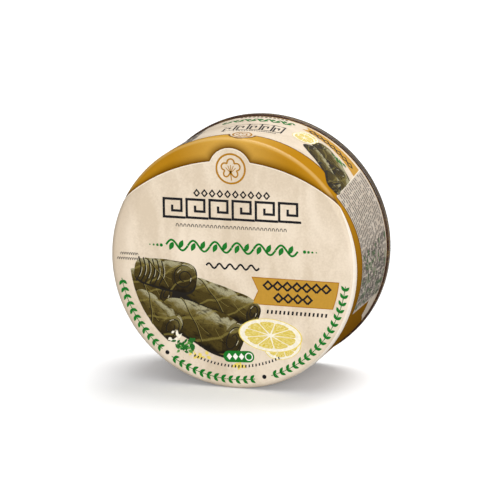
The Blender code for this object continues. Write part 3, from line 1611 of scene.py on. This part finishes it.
@dataclass(frozen=True)
class FacePicture:
    """Leaf rolls and lemon on the lower part of the face."""

    tin: TinForm
    clip_radius: float = 41.8
    rolls: tuple[LeafRoll, ...] = (
        LeafRoll((-34.4, -10.8), 20.0, 9.8, -22.0, 2.0, 1, 0.7),
        LeafRoll((-4.6, -14.2), 32.0, 10.6, -19.0, 2.3, 1, 2.1),
        LeafRoll((-12.6, -24.8), 34.6, 14.8, -22.0, 2.6, 1, 5.2, 0.22),
        LeafRoll((-31.4, -21.6), 23.0, 11.6, -38.0, 2.9, 1, 3.6, 0.12, 0.6),
        LeafRoll((-27.4, -5.5), 25.2, 11.6, -7.0, 3.2, 1, 8.4, 0.14, 0.84, 6),
    )
    lemons: tuple[LemonSlice, ...] = (
        LemonSlice((20.4, -31.4), (7.6, 5.0), 16.0, 3.36, 8),
        LemonSlice((15.4, -27.2), (12.9, 6.6), -3.0, 3.48),
    )

    def clip(self, outline: Outline) -> Outline:
        """Pull the points of an outline back inside the picture's round edge."""
        pulls = [min(1.0, self.clip_radius / (math.hypot(x, z) or 1.0)) for x, z in outline]
        return [(x * pull, z * pull) for (x, z), pull in zip(outline, pulls)]

    def build(self) -> None:
        """Draw the whole picture."""
        inks = FoodInks(self.tin, "face", Ground.FACE, self.clip)
        inks.pieces["leaf_folds"].shape(curve((-20.0, -15.0), (11.5, 6.0), 0.0, 350.0, 35), 1.9)
        for motif in (*self.rolls, *self.lemons):
            motif.draw(inks)
        draw = random.Random(7)
        inks.scatter(draw, (-24.6, -30.4), (3.0, 1.8), 9, 3.3, "lemon_pith")
        inks.scatter(draw, (-19.4, -34.2), (3.8, 2.4), 34, 3.5)
        inks.scatter(draw, (-13.4, -37.2), (3.4, 1.3), 9, 2.4, "lemon_rind")
        inks.scatter(draw, (2.8, -40.2), (3.2, 0.7), 8, 2.2, "lemon_rind")
        inks.build()


# Prints of the face


@dataclass(frozen=True)
class FacePrint:
    """Borders, friezes, dots, badge and label of the face."""

    tin: TinForm
    rows: RowTree
    rim_radius: float = 46.0
    label_centre: Point = (2.5, -36.6)
    label_tilt: float = 3.0
    badge_z: float = 37.7

    def build(self) -> None:
        """Print every element of the face."""
        black = flat_ink("black_print", 14, 13, 18)
        grey = flat_ink("grey_print", 74, 68, 62)
        green = flat_ink("green_print", 10, 118, 30)
        gold = flat_ink("gold_line_print", 176, 122, 18, 0.05)
        self._upper_rows(black, grey, green)
        self._lower_rows(black, green)
        self._badge(gold)
        self._label(green)

    def _upper_rows(self, black: Material, grey: Material, green: Material) -> None:
        """Print the lozenges, key frieze and arches, and the vine scroll between its growing dots.

        Args:
            black: Finish of the frieze and lozenges.
            grey: Finish of the arches.
            green: Finish of the scroll and dots.
        """
        cell = 1.8
        key = ((4.9, 0.0), (0.0, 0.0), (0.0, 4.0), (4.0, 4.0), (4.0, 1.45), (1.9, 1.45), (1.9, 2.7))
        key_unit = Motif("key_unit", lines=(([(x * cell, z * cell) for x, z in key], 0.98),))
        self._rows("face_key_frieze", key_unit, black, Row(6, (-27.4, 17.4), (9.35, 0.16)))
        rim = ((0.0, -1.3), (1.05, 0.0), (0.0, 1.3), (-1.05, 0.0), (0.0, -1.3))
        open_lozenge = Motif("open_lozenge", lines=((rim, 0.56),))
        self._rows("face_bead_row", open_lozenge, black, Row(10, (-13.9, 27.4), (3.14, 0.05)))
        arch = Motif("arch", lines=((curve((0.0, -0.55), (0.5, 1.15), 0.0, 180.0, 8), 0.3),))
        self._rows(
            "face_arch_rows", arch, grey,
            Row(29, (-22.0, 14.3), (1.56, 0.016)),
            Row(8, (-45.2, 1.6), (0.92, 0.0), size=0.8),
            Row(11, (-46.6, -0.4), (0.92, 0.0), size=0.8),
        )
        pitch, leaf = 8.9, leaf_outline(3.7, 2.0)
        leaves = (turned_by(leaf, 66.0, (5.4, -1.2)), turned_by(leaf, -114.0, (2.9, 1.2)))
        scroll = Motif("scroll_unit", leaves, ((wave_line(pitch, 2.0, 24), 0.82),))
        self._rows("face_vine_scroll", scroll, green, Row(6, (-26.7, 6.3), (pitch, 0.1)))
        self._rows(
            "face_growing_dots", Motif("dot", (oval((0.0, 0.0), 1.0, 1.0),)), green,
            Row(4, (-33.4, 5.9), (1.56, 0.0), size=0.28, size_step=0.13),
            Row(4, (34.1, 6.8), (-1.56, 0.0), size=0.28, size_step=0.13),
        )

    def _lower_rows(self, black: Material, green: Material) -> None:
        """Print the ribbon of waves, the ticks, the pennant's lozenges and the border along the rim.

        Args:
            black: Finish of the waves, ticks and lozenges.
            green: Finish of the leaf border.
        """
        wave = Motif("wave_unit", lines=((wave_line(4.3, 0.95, 12), 0.72),))
        self._rows("face_wave_line", wave, black, Row(5, (-10.4, -1.0), (4.3, 0.06)))
        tick = Motif("tick", (((-0.5, -0.75), (0.25, -0.75), (0.5, 0.75), (-0.25, 0.75)),))
        self._rows(
            "face_tick_rows", tick, black,
            Row(15, (14.4, -17.8), (1.68, 0.0)),
            Row(26, radius=40.6, start_angle=-112.5, angle_step=2.0, size=0.72, layer=3.6),
        )
        square = ((-1.2, -1.2), (1.2, -1.2), (1.2, 1.2), (-1.2, 1.2), (-1.2, -1.2))
        self._rows(
            "pennant_lozenges", Motif("lozenge", lines=((turned_by(square, 45.0), 0.78),)), black,
            Row(7, (14.6, -7.4), (3.9, 0.0), layer=3.5),
            Row(4, (18.8, -12.1), (3.9, 0.0), layer=3.5),
        )
        leaf = leaf_outline(2.5, 1.25)
        leaves = (turned_by(leaf, 38.0, (-0.5, 0.1)), turned_by(leaf, -38.0, (-0.5, -0.1)))
        pair = Motif("leaf_pair", leaves, ((((-1.3, 0.0), (1.5, 0.0)), 0.34),))
        groups = ((11, -168.0), (12, -121.5), (17, -68.5))
        arc = {"radius": self.rim_radius, "angle_step": 3.72}
        border = [Row(count, start_angle=start, **arc) for count, start in groups]
        self._rows("rim_leaf_border", pair, green, *border)
        dot = Motif("parting_dot", (oval((0.0, 0.0), 0.85, 0.85),))
        parting = Row(2, radius=self.rim_radius - 0.2, start_angle=-126.0, angle_step=52.2)
        self._rows("rim_parting_dots", dot, black, parting)

    def _rows(self, name: str, motif: Motif, ink: Material, *rows: Row) -> None:
        """Print rows of a motif as one piece."""
        self.rows.lay(self.tin, name, motif, ink, rows)

    def _badge(self, ink: Material) -> None:
        """Print the gold ring with a plain vine leaf in it.

        Args:
            ink: Finish of both.
        """
        piece = Inkwork(self.tin, "badge_leaf_ring", ink)
        middle, root = self.badge_z, (0.0, self.badge_z - 1.6)
        piece.stroke(curve((0.0, middle), (5.75, 5.75), 0.0, 355.0, 71), 0.75, 2, closed=True)
        piece.stroke([(x, z + middle) for x, z in vine_leaf_outline(3.9)], 0.6, 2, closed=True)
        for lean in (-58.0, -28.0, 0.0, 28.0, 58.0):
            x, z = 2.4 * math.sin(math.radians(lean)), 2.4 * math.cos(math.radians(lean))
            piece.stroke([root, (x, root[1] + z + 0.7)], 0.3, 2)
        piece.stroke([root, (0.3, middle - 4.6)], 0.42, 2)
        piece.build()

    def _label(self, green: Material) -> None:
        """Print the round-ended green label with white lozenges and a ring on it.

        Args:
            green: Finish of the label.
        """
        half, radius = 4.0, 2.3
        outline = curve((half, 0.0), (radius, radius), -90.0, 90.0, 14)
        outline += curve((-half, 0.0), (radius, radius), 90.0, 270.0, 14)
        plate = Inkwork(self.tin, "face_label", green)
        plate.shape(turned_by(outline, self.label_tilt, self.label_centre), 3.7)
        plate.build()
        marks = Inkwork(self.tin, "face_label_marks", flat_ink("white_print", 250, 246, 236))
        lozenge = ((-1.1, 0.0), (0.0, -1.4), (1.1, 0.0), (0.0, 1.4))
        places = [(x, 0.0) for x in (-3.9, -1.4, 1.1, 4.1)]
        *spots, ring = turned_by(places, self.label_tilt, self.label_centre)
        for spot in spots:
            marks.shape(turned_by(lozenge, self.label_tilt, spot), 3.9)
        marks.stroke(oval(ring, 1.4, 1.4), 0.42, 3.9, closed=True)
        marks.build()


# Prints of the wall


@dataclass(frozen=True)
class Band:
    """Skewed band of the wall: its near and far edge at the right end, the middle and the left end.

    Each place is an angle in degrees and a run in millimetres.
    """

    near: tuple[Point, Point, Point]
    far: tuple[Point, Point, Point]

    def at(self, across: float, up: float) -> Point:
        """Find a spot of the band.

        Args:
            across: Share of the way to the left end.
            up: Share of the way to the far edge.

        Returns:
            Its angle and run.
        """
        spots = []
        half, rest = across - 0.5, 1 - across
        weights = (-2 * half * rest, 4 * across * rest, 2 * across * half)
        for places in (self.near, self.far):
            spots.append([sum(w * place[k] for w, place in zip(weights, places)) for k in (0, 1)])
        degrees, run = (near + (far - near) * up for near, far in zip(*spots))
        return degrees, run


@dataclass(frozen=True)
class WallPrint:
    """Cream field, panels, ribbon ends and motifs that run round the wall."""

    tin: TinForm
    tree: SmallPrintTree
    panel_low: float = -21.8
    corner: float = 34.6
    corner_far: float = 38.1
    left_corner: float = 108.6
    left_corner_far: float = 117.4
    left_middle: float = 150.0
    left_low: float = 171.8
    cream_front: float = 60.5
    cream_turn: float = 48.0
    cream_bend: float = 0.0022
    badge: float = 87.3
    badge_run: float = 57.6
    bulge: Point = (4.7, 6.6)
    bulge_shade: Point = (5.1, 7.1)
    ring: Point = (3.5, 4.4)
    end_run: float = 92.2
    panel_front: float = 58.5
    panel_bend: float = 27.5
    print_rows: int = 17
    print_end: float = 91.0
    line_width: float = 0.35
    title: Band = Band(
        ((74.4, 71.0), (86.2, 67.2), (100.4, 62.2)), ((75.3, 80.0), (88.0, 77.2), (101.4, 70.6))
    )
    scroll: Band = Band(
        ((73.8, 85.6), (89.0, 81.9), (106.2, 80.6)), ((74.3, 89.8), (90.6, 88.2), (107.6, 87.0))
    )

    def spot(self, degrees: float, run: float) -> Point:
        """Return the arc length and run of a place given by its angle."""
        return math.radians(degrees) * self.tin.radius / MM, run

    def panel_edge(self, degrees: float) -> float:
        """Return the run of either panel's front edge."""
        turn = degrees if degrees < 90.0 else degrees - self.left_middle
        return self.panel_front + self.panel_bend * (math.cos(math.radians(turn)) - 1.0)

    def cream_edge(self, degrees: float) -> float:
        """Return the run of the cream field's front edge."""
        return self.cream_front - self.cream_bend * max(0.0, degrees - self.cream_turn) ** 2

    def corner_at(self, run: float) -> Point:
        """Return the place at a run on the slanted edge between cream field and panel."""
        share = (run - self.panel_edge(self.corner)) / (self.end_run - self.panel_edge(self.corner))
        return self.spot(self.corner + (self.corner_far - self.corner) * share, run)

    def clip(self, outline: Outline) -> Outline:
        """Keep an outline on the cream field's side of the right panel."""
        return [(max(self.corner_at(run)[0], x), run) for x, run in outline]

    def build(self, parchment: Material, pale: Material) -> None:
        """Print every element of the wall.

        Args:
            parchment: Finish of the cream field.
            pale: Finish of its edge lines.
        """
        self._fields(parchment, pale)
        self._small_print()
        self._friezes()
        self._pennant()
        self._picture()

    def _open(self, name: str, ink: Material) -> Inkwork:
        """Open a piece of the wall's print."""
        return Inkwork(self.tin, name, ink, Ground.WALL)

    def _edge(self, run_at: Callable[[float], float], low: float, high: float) -> Outline:
        """List points along a front edge, every few degrees from low to high."""
        steps = max(2, round((high - low) / 3))
        return [self.spot(angle, run_at(angle)) for angle in evenly(low, high, steps)]

    def _fields(self, parchment: Material, pale: Material) -> None:
        """Lay the cream field with its badge, the panels, the ribbon ends and their edges.

        Args:
            parchment: Finish of the cream field.
            pale: Finish of the edge lines.
        """
        end, low = self.end_run, self.panel_low
        cream = self._open("wall_cream_field", parchment)
        panel = self._open("small_print_panels", PanelInk().material())
        line = self._open("wall_edge_lines", pale)
        shade = self._open("wall_edge_shades", flat_ink("gold_shade_print", 104, 64, 8))
        right_end, left_end = self.spot(self.corner_far, end), self.spot(self.left_corner_far, end)
        cream_front = self._edge(self.cream_edge, self.corner + 0.8, self.left_corner)
        cream.shape(cream_front + [left_end, right_end], 1)
        middle = self.spot(self.badge, self.badge_run)
        cream.shape(curve(middle, self.bulge, 180.0, 360.0, 24), 1.2)
        ribbon = ((low, 79.0), (-25.0, 79.6), (-30.0, 80.0), (-35.4, 88.8), (-37.6, 92.2), (low, 92.2))
        cream.shape([self.spot(*place) for place in ribbon], 1)
        cream.shape([self.spot(self.left_low - (angle - low), run) for angle, run in ribbon[::-1]], 1)
        cream.build()
        right = self._edge(self.panel_edge, low, self.corner)
        panel.shape(right + [right_end, self.spot(low, end)], 1)
        left = self._edge(self.panel_edge, self.left_corner, self.left_low)
        panel.shape(left + [self.spot(self.left_low, end), left_end], 1)
        panel.build()
        for points in (right, left):
            line.stroke(points, self.line_width, 2)
            shade.stroke([(x, run - 0.5) for x, run in points], 0.7, 0.6)
        line.stroke([self.corner_at(run) for run in (53.6, 66.0, 79.0, 92.0)], self.line_width, 2.2)
        line.stroke([left[0], left_end], self.line_width, 2.2)
        for first, last in ((low, self.corner_far), (self.left_corner_far, self.left_low)):
            line.stroke(self._edge(lambda angle: end - 0.3, first, last), 0.4, 2.4)
        line.build()
        shade.stroke([(x, run - 0.3) for x, run in cream_front], 0.7, 0.6)
        shade.stroke(curve(middle, self.bulge_shade, 180.0, 360.0, 24), 0.7, 0.6)
        shade.build()

    def _small_print(self) -> None:
        """Lay rows of dashes, grey and some green, on both panels."""
        grey = flat_ink("small_print_grey", 116, 108, 100)
        green = flat_ink("small_print_green", 72, 118, 62)
        right, left = 0.0, self.left_middle
        low, start = self.panel_low + 1.2, self.left_corner + 0.6
        grey_blocks = [
            self._block(grey, right, low, self.corner - 0.6, 1.9, 0.93, 3),
            self._block(grey, right, low, low + 26.0, 2.2, 0.62, 5, 0.5, 0.55),
            self._block(grey, left, start, self.left_low - 1.4, 1.9, 0.93, 11),
            self._block(grey, left, start, start + 24.0, 2.2, 0.7, 13, 0.5, 0.6),
        ]
        joined("small_print_rows", grey, grey_blocks)
        green_blocks = [
            self._block(green, right, low, low + 25.0, 2.4, 0.28, 21, layer=2.4),
            self._block(green, left, self.left_low - 30.0, self.left_low - 3.0, 2.4, 0.25, 27, layer=2.4),
        ]
        joined("small_print_green_rows", green, green_blocks)

    def _block(
        self, ink: Material, middle: float, first: float, last: float, pitch: float, share: float,
        seed: int, nudge: float = 0.0, height: float = 0.9, layer: float = 2.0,
    ) -> bpy.types.Mesh:
        """Bake one block of dashes.

        Args:
            ink: Finish of the dashes.
            middle: Angle at which the panel reaches furthest back, in degrees, or 0 for the right panel.
            first: First angle of the rows, in degrees.
            last: Last angle of the rows, in degrees.
            pitch: Wanted angle from dash to dash, in degrees.
            share: Share of the dashes that are there.
            seed: Seed of the random lengths and gaps.
            nudge: Shift of the rows, in rows.
            height: Height of the dashes.
            layer: Number of the ink layer.

        Returns:
            The dashes as a plain mesh.
        """
        columns = round((last - first) / pitch)
        step = (last - first) / columns
        dash = math.radians(step) * self.tin.radius
        return self.tree.bake({
            "Rows": self.print_rows,
            "Columns": columns,
            "Start Angle": math.radians(first + step / 2),
            "Angle Step": math.radians(step),
            "Slant": math.radians(self.left_corner_far - self.left_corner) if middle else 0.0,
            "Far Slant": 0.0 if middle else math.radians(self.corner_far - self.corner),
            "Front": self.tin.wall_y(self.panel_front * MM),
            "Bend": self.panel_bend * MM,
            "Turn": -math.radians(middle),
            "Rear": self.tin.wall_y(self.print_end * MM),
            "First": 0.45 + nudge,
            "Dash Height": height * MM,
            "Shortest": 0.62 * dash,
            "Longest": 1.1 * dash,
            "Share": share,
            "Seed": seed,
            "Reach": self.tin.radius - INSET + layer * LAYER,
            "Axis Height": self.tin.axis_z,
            "Finish": ink,
        })

    def _friezes(self) -> None:
        """Print the key frieze, the leafy scroll and the badge's leaf on the cream field."""
        black = self._open("wall_key_frieze", flat_ink("wall_black_print", 14, 13, 16))
        key = ((0.95, 0.0), (0.0, 0.0), (0.0, 1.0), (0.78, 1.0), (0.78, 0.36), (0.4, 0.36), (0.4, 0.66))
        for index in range(5):
            line = [self.spot(*self.title.at((index + 0.04 + x) / 5.05, 1.0 - z)) for x, z in key]
            black.stroke(line, 0.66, 2)
        for index in range(18):
            black.shape(oval(self.spot(*self.title.at(0.1 + 0.04 * index, -0.22)), 0.42, 0.42), 2)
        start, run = self.spot(79.0, 91.0)
        for index in range(12):
            black.shape(oval((start + index * 1.7, run), 0.6, 0.6), 2)
        black.build()
        green = self._open("wall_vine_scroll", flat_ink("wall_green_print", 34, 118, 46))
        ways = [(step / 96, 0.5 + 0.36 * math.sin(step * math.pi / 8)) for step in range(97)]
        green.stroke([self.spot(*self.scroll.at(*way)) for way in ways], 0.85, 2)
        for index in range(12):
            base = self.spot(*self.scroll.at((index + 0.5) / 12, 0.5))
            green.shape(turned_by(leaf_outline(2.8, 1.5), 60.0 if index % 2 else -60.0, base), 2)
        green.build()
        gold = self._open("wall_badge_ring", flat_ink("wall_gold_line", 178, 120, 14))
        centre = self.spot(self.badge, self.badge_run - 1.0)
        gold.stroke(curve(centre, self.ring, 0.0, 352.0, 44), 0.7, 2, True)
        leaf = [(x + centre[0], centre[1] - 1.3 * z) for x, z in vine_leaf_outline(2.1, 40)]
        gold.stroke(leaf, 0.42, 2, True)
        gold.build()

    def _pennant(self) -> None:
        """Print the gold pennant along the seam with its dark lozenges."""
        gold = self._open("wall_pennant", flat_ink("wall_pennant_gold", 202, 150, 48, 0.04))
        places = ((54.0, 85.0), (69.8, 86.6), (67.4, 88.8), (69.2, 91.3), (38.3, 90.2))
        gold.shape([self.corner_at(81.3)] + [self.spot(*place) for place in places], 2)
        gold.build()
        dark = self._open("wall_pennant_lozenges", flat_ink("wall_dark_print", 20, 17, 16))
        side = 1.05
        square = ((-side, -side), (side, -side), (side, side), (-side, side))
        for index in range(7):
            centre = self.spot(42.5 + 3.75 * index, 85.6 + 0.42 * index)
            dark.stroke(turned_by(square, 45.0, centre), 0.62, 3, True)
        dark.build()

    def _picture(self) -> None:
        """Print the small rolls and lemon at the right end of the cream field."""
        inks = FoodInks(self.tin, "wall", Ground.WALL, self.clip)
        for motif in (
            LeafRoll(self.spot(47.0, 74.8), 24.0, 9.2, 25.0, 2.0, 1, 1.2),
            LeafRoll(self.spot(38.6, 68.2), 14.0, 10.4, 44.0, 2.3, 1, 2.9),
            LeafRoll(self.spot(51.0, 66.4), 21.0, 7.0, 34.0, 2.6, 1, 4.4),
            LeafRoll(self.spot(39.8, 59.6), 12.0, 8.4, 58.0, 2.9, -1, 7.1, 0.09, 0.7),
            LemonSlice(self.spot(64.4, 81.2), (4.4, 4.0), 24.0, 2.1),
            LemonSlice(self.spot(65.2, 77.4), (4.6, 5.6), 24.0, 2.6),
        ):
            motif.draw(inks)
        inks.scatter(random.Random(5), self.spot(46.6, 80.2), (2.6, 1.1), 9, 2.9)
        inks.build()


# The metal


@dataclass(frozen=True)
class Skin:
    """Fine shell of the drawn body."""

    tin: TinForm
    shoulder_steps: int = 14
    wall_length: float = 41.2 * MM
    wall_steps: int = 8
    lip_depth: float = 0.9 * MM
    closing_depth: float = 1.8 * MM

    def build(self, cream: CreamField) -> None:
        """Make the gold-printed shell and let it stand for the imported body.

        Args:
            cream: The sheet whose printed shadow falls on the gold.
        """
        tin = self.tin
        runs = [share * tin.face_run for share in (0.0, 0.3, 0.6, 0.85)]
        runs += evenly(tin.face_run, tin.wall_run, self.shoulder_steps)
        runs += evenly(tin.wall_run, tin.wall_run + self.wall_length, self.wall_steps)[1:]
        outline = [tin.profile(run, -INSET) for run in runs]
        radius, back_y = outline[-1]
        inner, floor_y = radius - self.lip_depth, back_y - self.closing_depth
        outline += [(inner, back_y), (inner, floor_y), (0.6 * radius, floor_y), (0.0, floor_y)]
        Turned(tin, "tin_skin", outline).build(GoldField(tin, cream).material(), Slot.PRINT, "tin_body")


@dataclass(frozen=True)
class SeamedEnd:
    """Stamped end with its double seam, countersink, beads and centre panel.

    The seam's dents are given by depth and rise, the panel's lip by run and drop, in millimetres.
    """

    tin: TinForm
    seam_height: float = 3.0 * MM
    seam_wall: float = 1.2 * MM
    groove_depth: float = 3.4 * MM
    groove_width: float = 2.0 * MM
    panel_rise: float = 0.9 * MM
    bead_radii: tuple[float, ...] = (40.0 * MM, 30.0 * MM)
    bead_step: float = 0.6 * MM
    bead_run: float = 0.8 * MM
    bead_steps: int = 6
    sheet: float = 1.0 * MM
    foot: float = 0.4 * MM
    bend: float = 0.7 * MM
    plug_gap: float = 0.6 * MM
    wall_gap: float = 0.55 * MM
    hem: float = 0.45 * MM
    waist: float = 0.55
    dents: tuple[Point, ...] = ((0.05, -0.3), (0.09, 0.0), (0.02, 0.3))
    lip: tuple[Point, ...] = ((1.3, 0.12), (1.7, 0.0))
    panel_rings: tuple[float, ...] = (18.0 * MM, 8.0 * MM, 0.0)

    def build(self) -> None:
        """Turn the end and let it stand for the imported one."""
        low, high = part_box("tin_end")
        outer, back = (high.x - low.x) / 2, high.y
        foot = back - self.seam_height
        material = GoldLacquer(back, foot, outer, self.tin.axis_z).material()
        outline = self._outline(outer, back, foot)
        Turned(self.tin, "seamed_end", outline).build(material, Slot.LACQUER, "tin_end")

    def _outline(self, outer: float, back: float, foot: float) -> Outline:
        """Outline of the end from the hidden underside, over the seam, to the middle.

        Args:
            outer: Radius of the seam.
            back: Y of its crown.
            foot: Y of its foot.

        Returns:
            The outline's (distance, y) points.
        """
        inner = outer - self.seam_wall
        under = back - self.groove_depth - self.sheet
        plug = inner - self.plug_gap
        points = [(0.0, under), (0.5 * plug, under), (plug, under), (plug, foot), (outer - self.hem, foot)]
        points += curve((outer - self.foot, foot + self.foot), (self.foot, self.foot), -80.0, 0.0, 6)
        waist = foot + self.waist * self.seam_height
        points += [(outer - depth * MM, waist + rise * MM) for depth, rise in self.dents]
        crown = self.seam_wall / 2
        points += curve((outer - crown, back - crown), (crown, crown), 0.0, 180.0, 14)
        groove, bend = back - self.groove_depth, (self.bend, self.bend)
        wall = inner - self.wall_gap
        points += curve((wall - self.bend, groove + self.bend), bend, 0.0, -90.0, 6)
        rise = wall - self.bend - self.groove_width
        points += curve((rise, groove + self.bend), bend, -90.0, -150.0, 5)
        level = groove + self.panel_rise
        points += [(rise - run * MM, level - drop * MM) for run, drop in self.lip]
        for radius in self.bead_radii:
            for share in evenly(0.0, 1.0, self.bead_steps):
                drop = self.bead_step * (0.5 - 0.5 * math.cos(math.pi * share))
                points.append((radius + self.bead_run * (0.5 - share), level - drop))
            level -= self.bead_step
        return points + [(radius, level) for radius in self.panel_rings]


# The studio


@dataclass(frozen=True)
class Studio:
    """Pale floor, soft lights and the camera."""

    target: Vector
    azimuth: float = 18.1
    elevation: float = 13.47
    roll: float = -0.6
    distance: float = 1.3
    lens: float = 238.7
    shift: Point = (-0.00086, 0.00172)
    floor_size: float = 14.0
    floor_tone: Colour = (0.97, 0.97, 0.97)
    bounce: Colour = (0.3, 0.3, 0.3)
    floor_glow: float = 0.13
    surround: float = 0.12
    overhead: float = 0.86
    bright_side: Place = (0.48, 0.05, 0.876)
    sun_direction: Place = (0.12, 0.42, 0.9)
    sun_strength: float = 1.68
    sun_width: float = 36.0
    softbox_place: Place = (0.3, -1.48, 0.22)
    softbox_size: Point = (1.2, 0.7)
    softbox_power: float = 21.5

    def build(self) -> None:
        """Make everything round the tin."""
        self._floor()
        self._world()
        self._lights()
        self._camera()

    def _floor(self) -> None:
        """Lay the floor under the tin."""
        material, board, shader = new_material("floor_white")
        seen = board.add("ShaderNodeLightPath").outputs["Is Camera Ray"]
        inputs = {
            "Base Color": board.mix(seen, self.bounce, self.floor_tone),
            "Roughness": 0.9,
            "Specular IOR Level": 0.0,
            "Emission Color": WHITE,
            "Emission Strength": board.times(seen, self.floor_glow),
        }
        board.fill(shader, inputs)
        half = self.floor_size / 2
        corners = ((-half, -half), (half, -half), (half, half), (-half, half))
        bm = bmesh.new()
        bm.faces.new([bm.verts.new((x, y, 0.0)) for x, y in corners])
        floor = from_bmesh("floor", bm, material)

    def _world(self) -> None:
        """Set a white surround that is brightest high up on the right."""
        world = bpy.data.worlds.new("studio")
        world.use_nodes = True
        ground = world.node_tree.nodes["Background"]
        board = NodeBoard(world.node_tree)
        direction = board.add("ShaderNodeTexCoord").outputs["Generated"]
        inputs = {0: direction, 1: self.bright_side}
        towards = board.add("ShaderNodeVectorMath", inputs, operation="DOT_PRODUCT").outputs["Value"]
        glow = board.span(towards, 0.1, 0.8, self.surround, self.overhead)
        board.fill(ground, {"Color": WHITE, "Strength": glow})
        bpy.context.scene.world = world
        bpy.context.scene.view_settings.view_transform = "Standard"

    def _lights(self) -> None:
        """Light the set with a wide soft source above and a soft rectangle in front."""
        sun = bpy.data.lights.new("overhead_light", "SUN")
        sun.energy = self.sun_strength
        sun.angle = math.radians(self.sun_width)
        lamp = placed("overhead_light", sun)
        lamp.rotation_euler = Vector(self.sun_direction).to_track_quat("Z", "Y").to_euler()
        softbox = bpy.data.lights.new("front_softbox", "AREA")
        softbox.shape = "RECTANGLE"
        softbox.size, softbox.size_y = self.softbox_size
        softbox.energy = self.softbox_power
        lamp = placed("front_softbox", softbox)
        lamp.location = self.softbox_place
        lamp.rotation_euler = (self.target - Vector(self.softbox_place)).to_track_quat("-Z", "Y").to_euler()

    def _camera(self) -> None:
        """Place the camera at the photograph's angle."""
        turn, lift, roll = (math.radians(value) for value in (self.azimuth, self.elevation, self.roll))
        back = Vector((math.sin(turn) * math.cos(lift), -math.cos(turn) * math.cos(lift), math.sin(lift)))
        right = Vector((math.cos(turn), math.sin(turn), 0.0))
        up = back.cross(right)
        rolled_right = right * math.cos(roll) + up * math.sin(roll)
        rolled_up = up * math.cos(roll) - right * math.sin(roll)
        data = bpy.data.cameras.new("camera")
        data.lens = self.lens
        data.sensor_width = 36.0
        data.shift_x, data.shift_y = self.shift
        data.clip_end = 50.0
        camera = placed("camera", data)
        place = self.target + back * self.distance
        turned = Matrix((rolled_right, rolled_up, back)).transposed().to_4x4()
        camera.matrix_world = Matrix.Translation(place) @ turned
        bpy.context.scene.camera = camera


def main() -> None:
    """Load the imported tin, dress it and set up the studio."""
    logging.basicConfig(level=logging.INFO, format="%(message)s")
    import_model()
    tin = TinForm.from_frame()
    parchment = ParchmentInk(tin).material()
    pale = flat_ink("pale_print", 246, 236, 218, 0.02)
    cream = CreamField(tin)
    Skin(tin).build(cream)
    arc_line = flat_ink("arc_line_print", 240, 226, 205, 0.02)
    # The rim line is a painted highlight.
    rim_highlight_line = flat_ink("rim_line_print", 244, 233, 217, 0.02)
    cream.build(parchment, arc_line, rim_highlight_line)
    FacePrint(tin, RowTree()).build()
    gold = flat_ink("pennant_gold", 192, 144, 46, 0.03)
    deep_gold = flat_ink("pennant_edge_gold", 172, 116, 18, 0.03)
    Pennant(tin).build(gold, deep_gold)
    FacePicture(tin).build()
    WallPrint(tin, SmallPrintTree()).build(parchment, pale)
    SeamedEnd(tin).build()
    Studio(Vector((0.0, 0.0, tin.axis_z))).build()


if __name__ == "__main__":
    main()
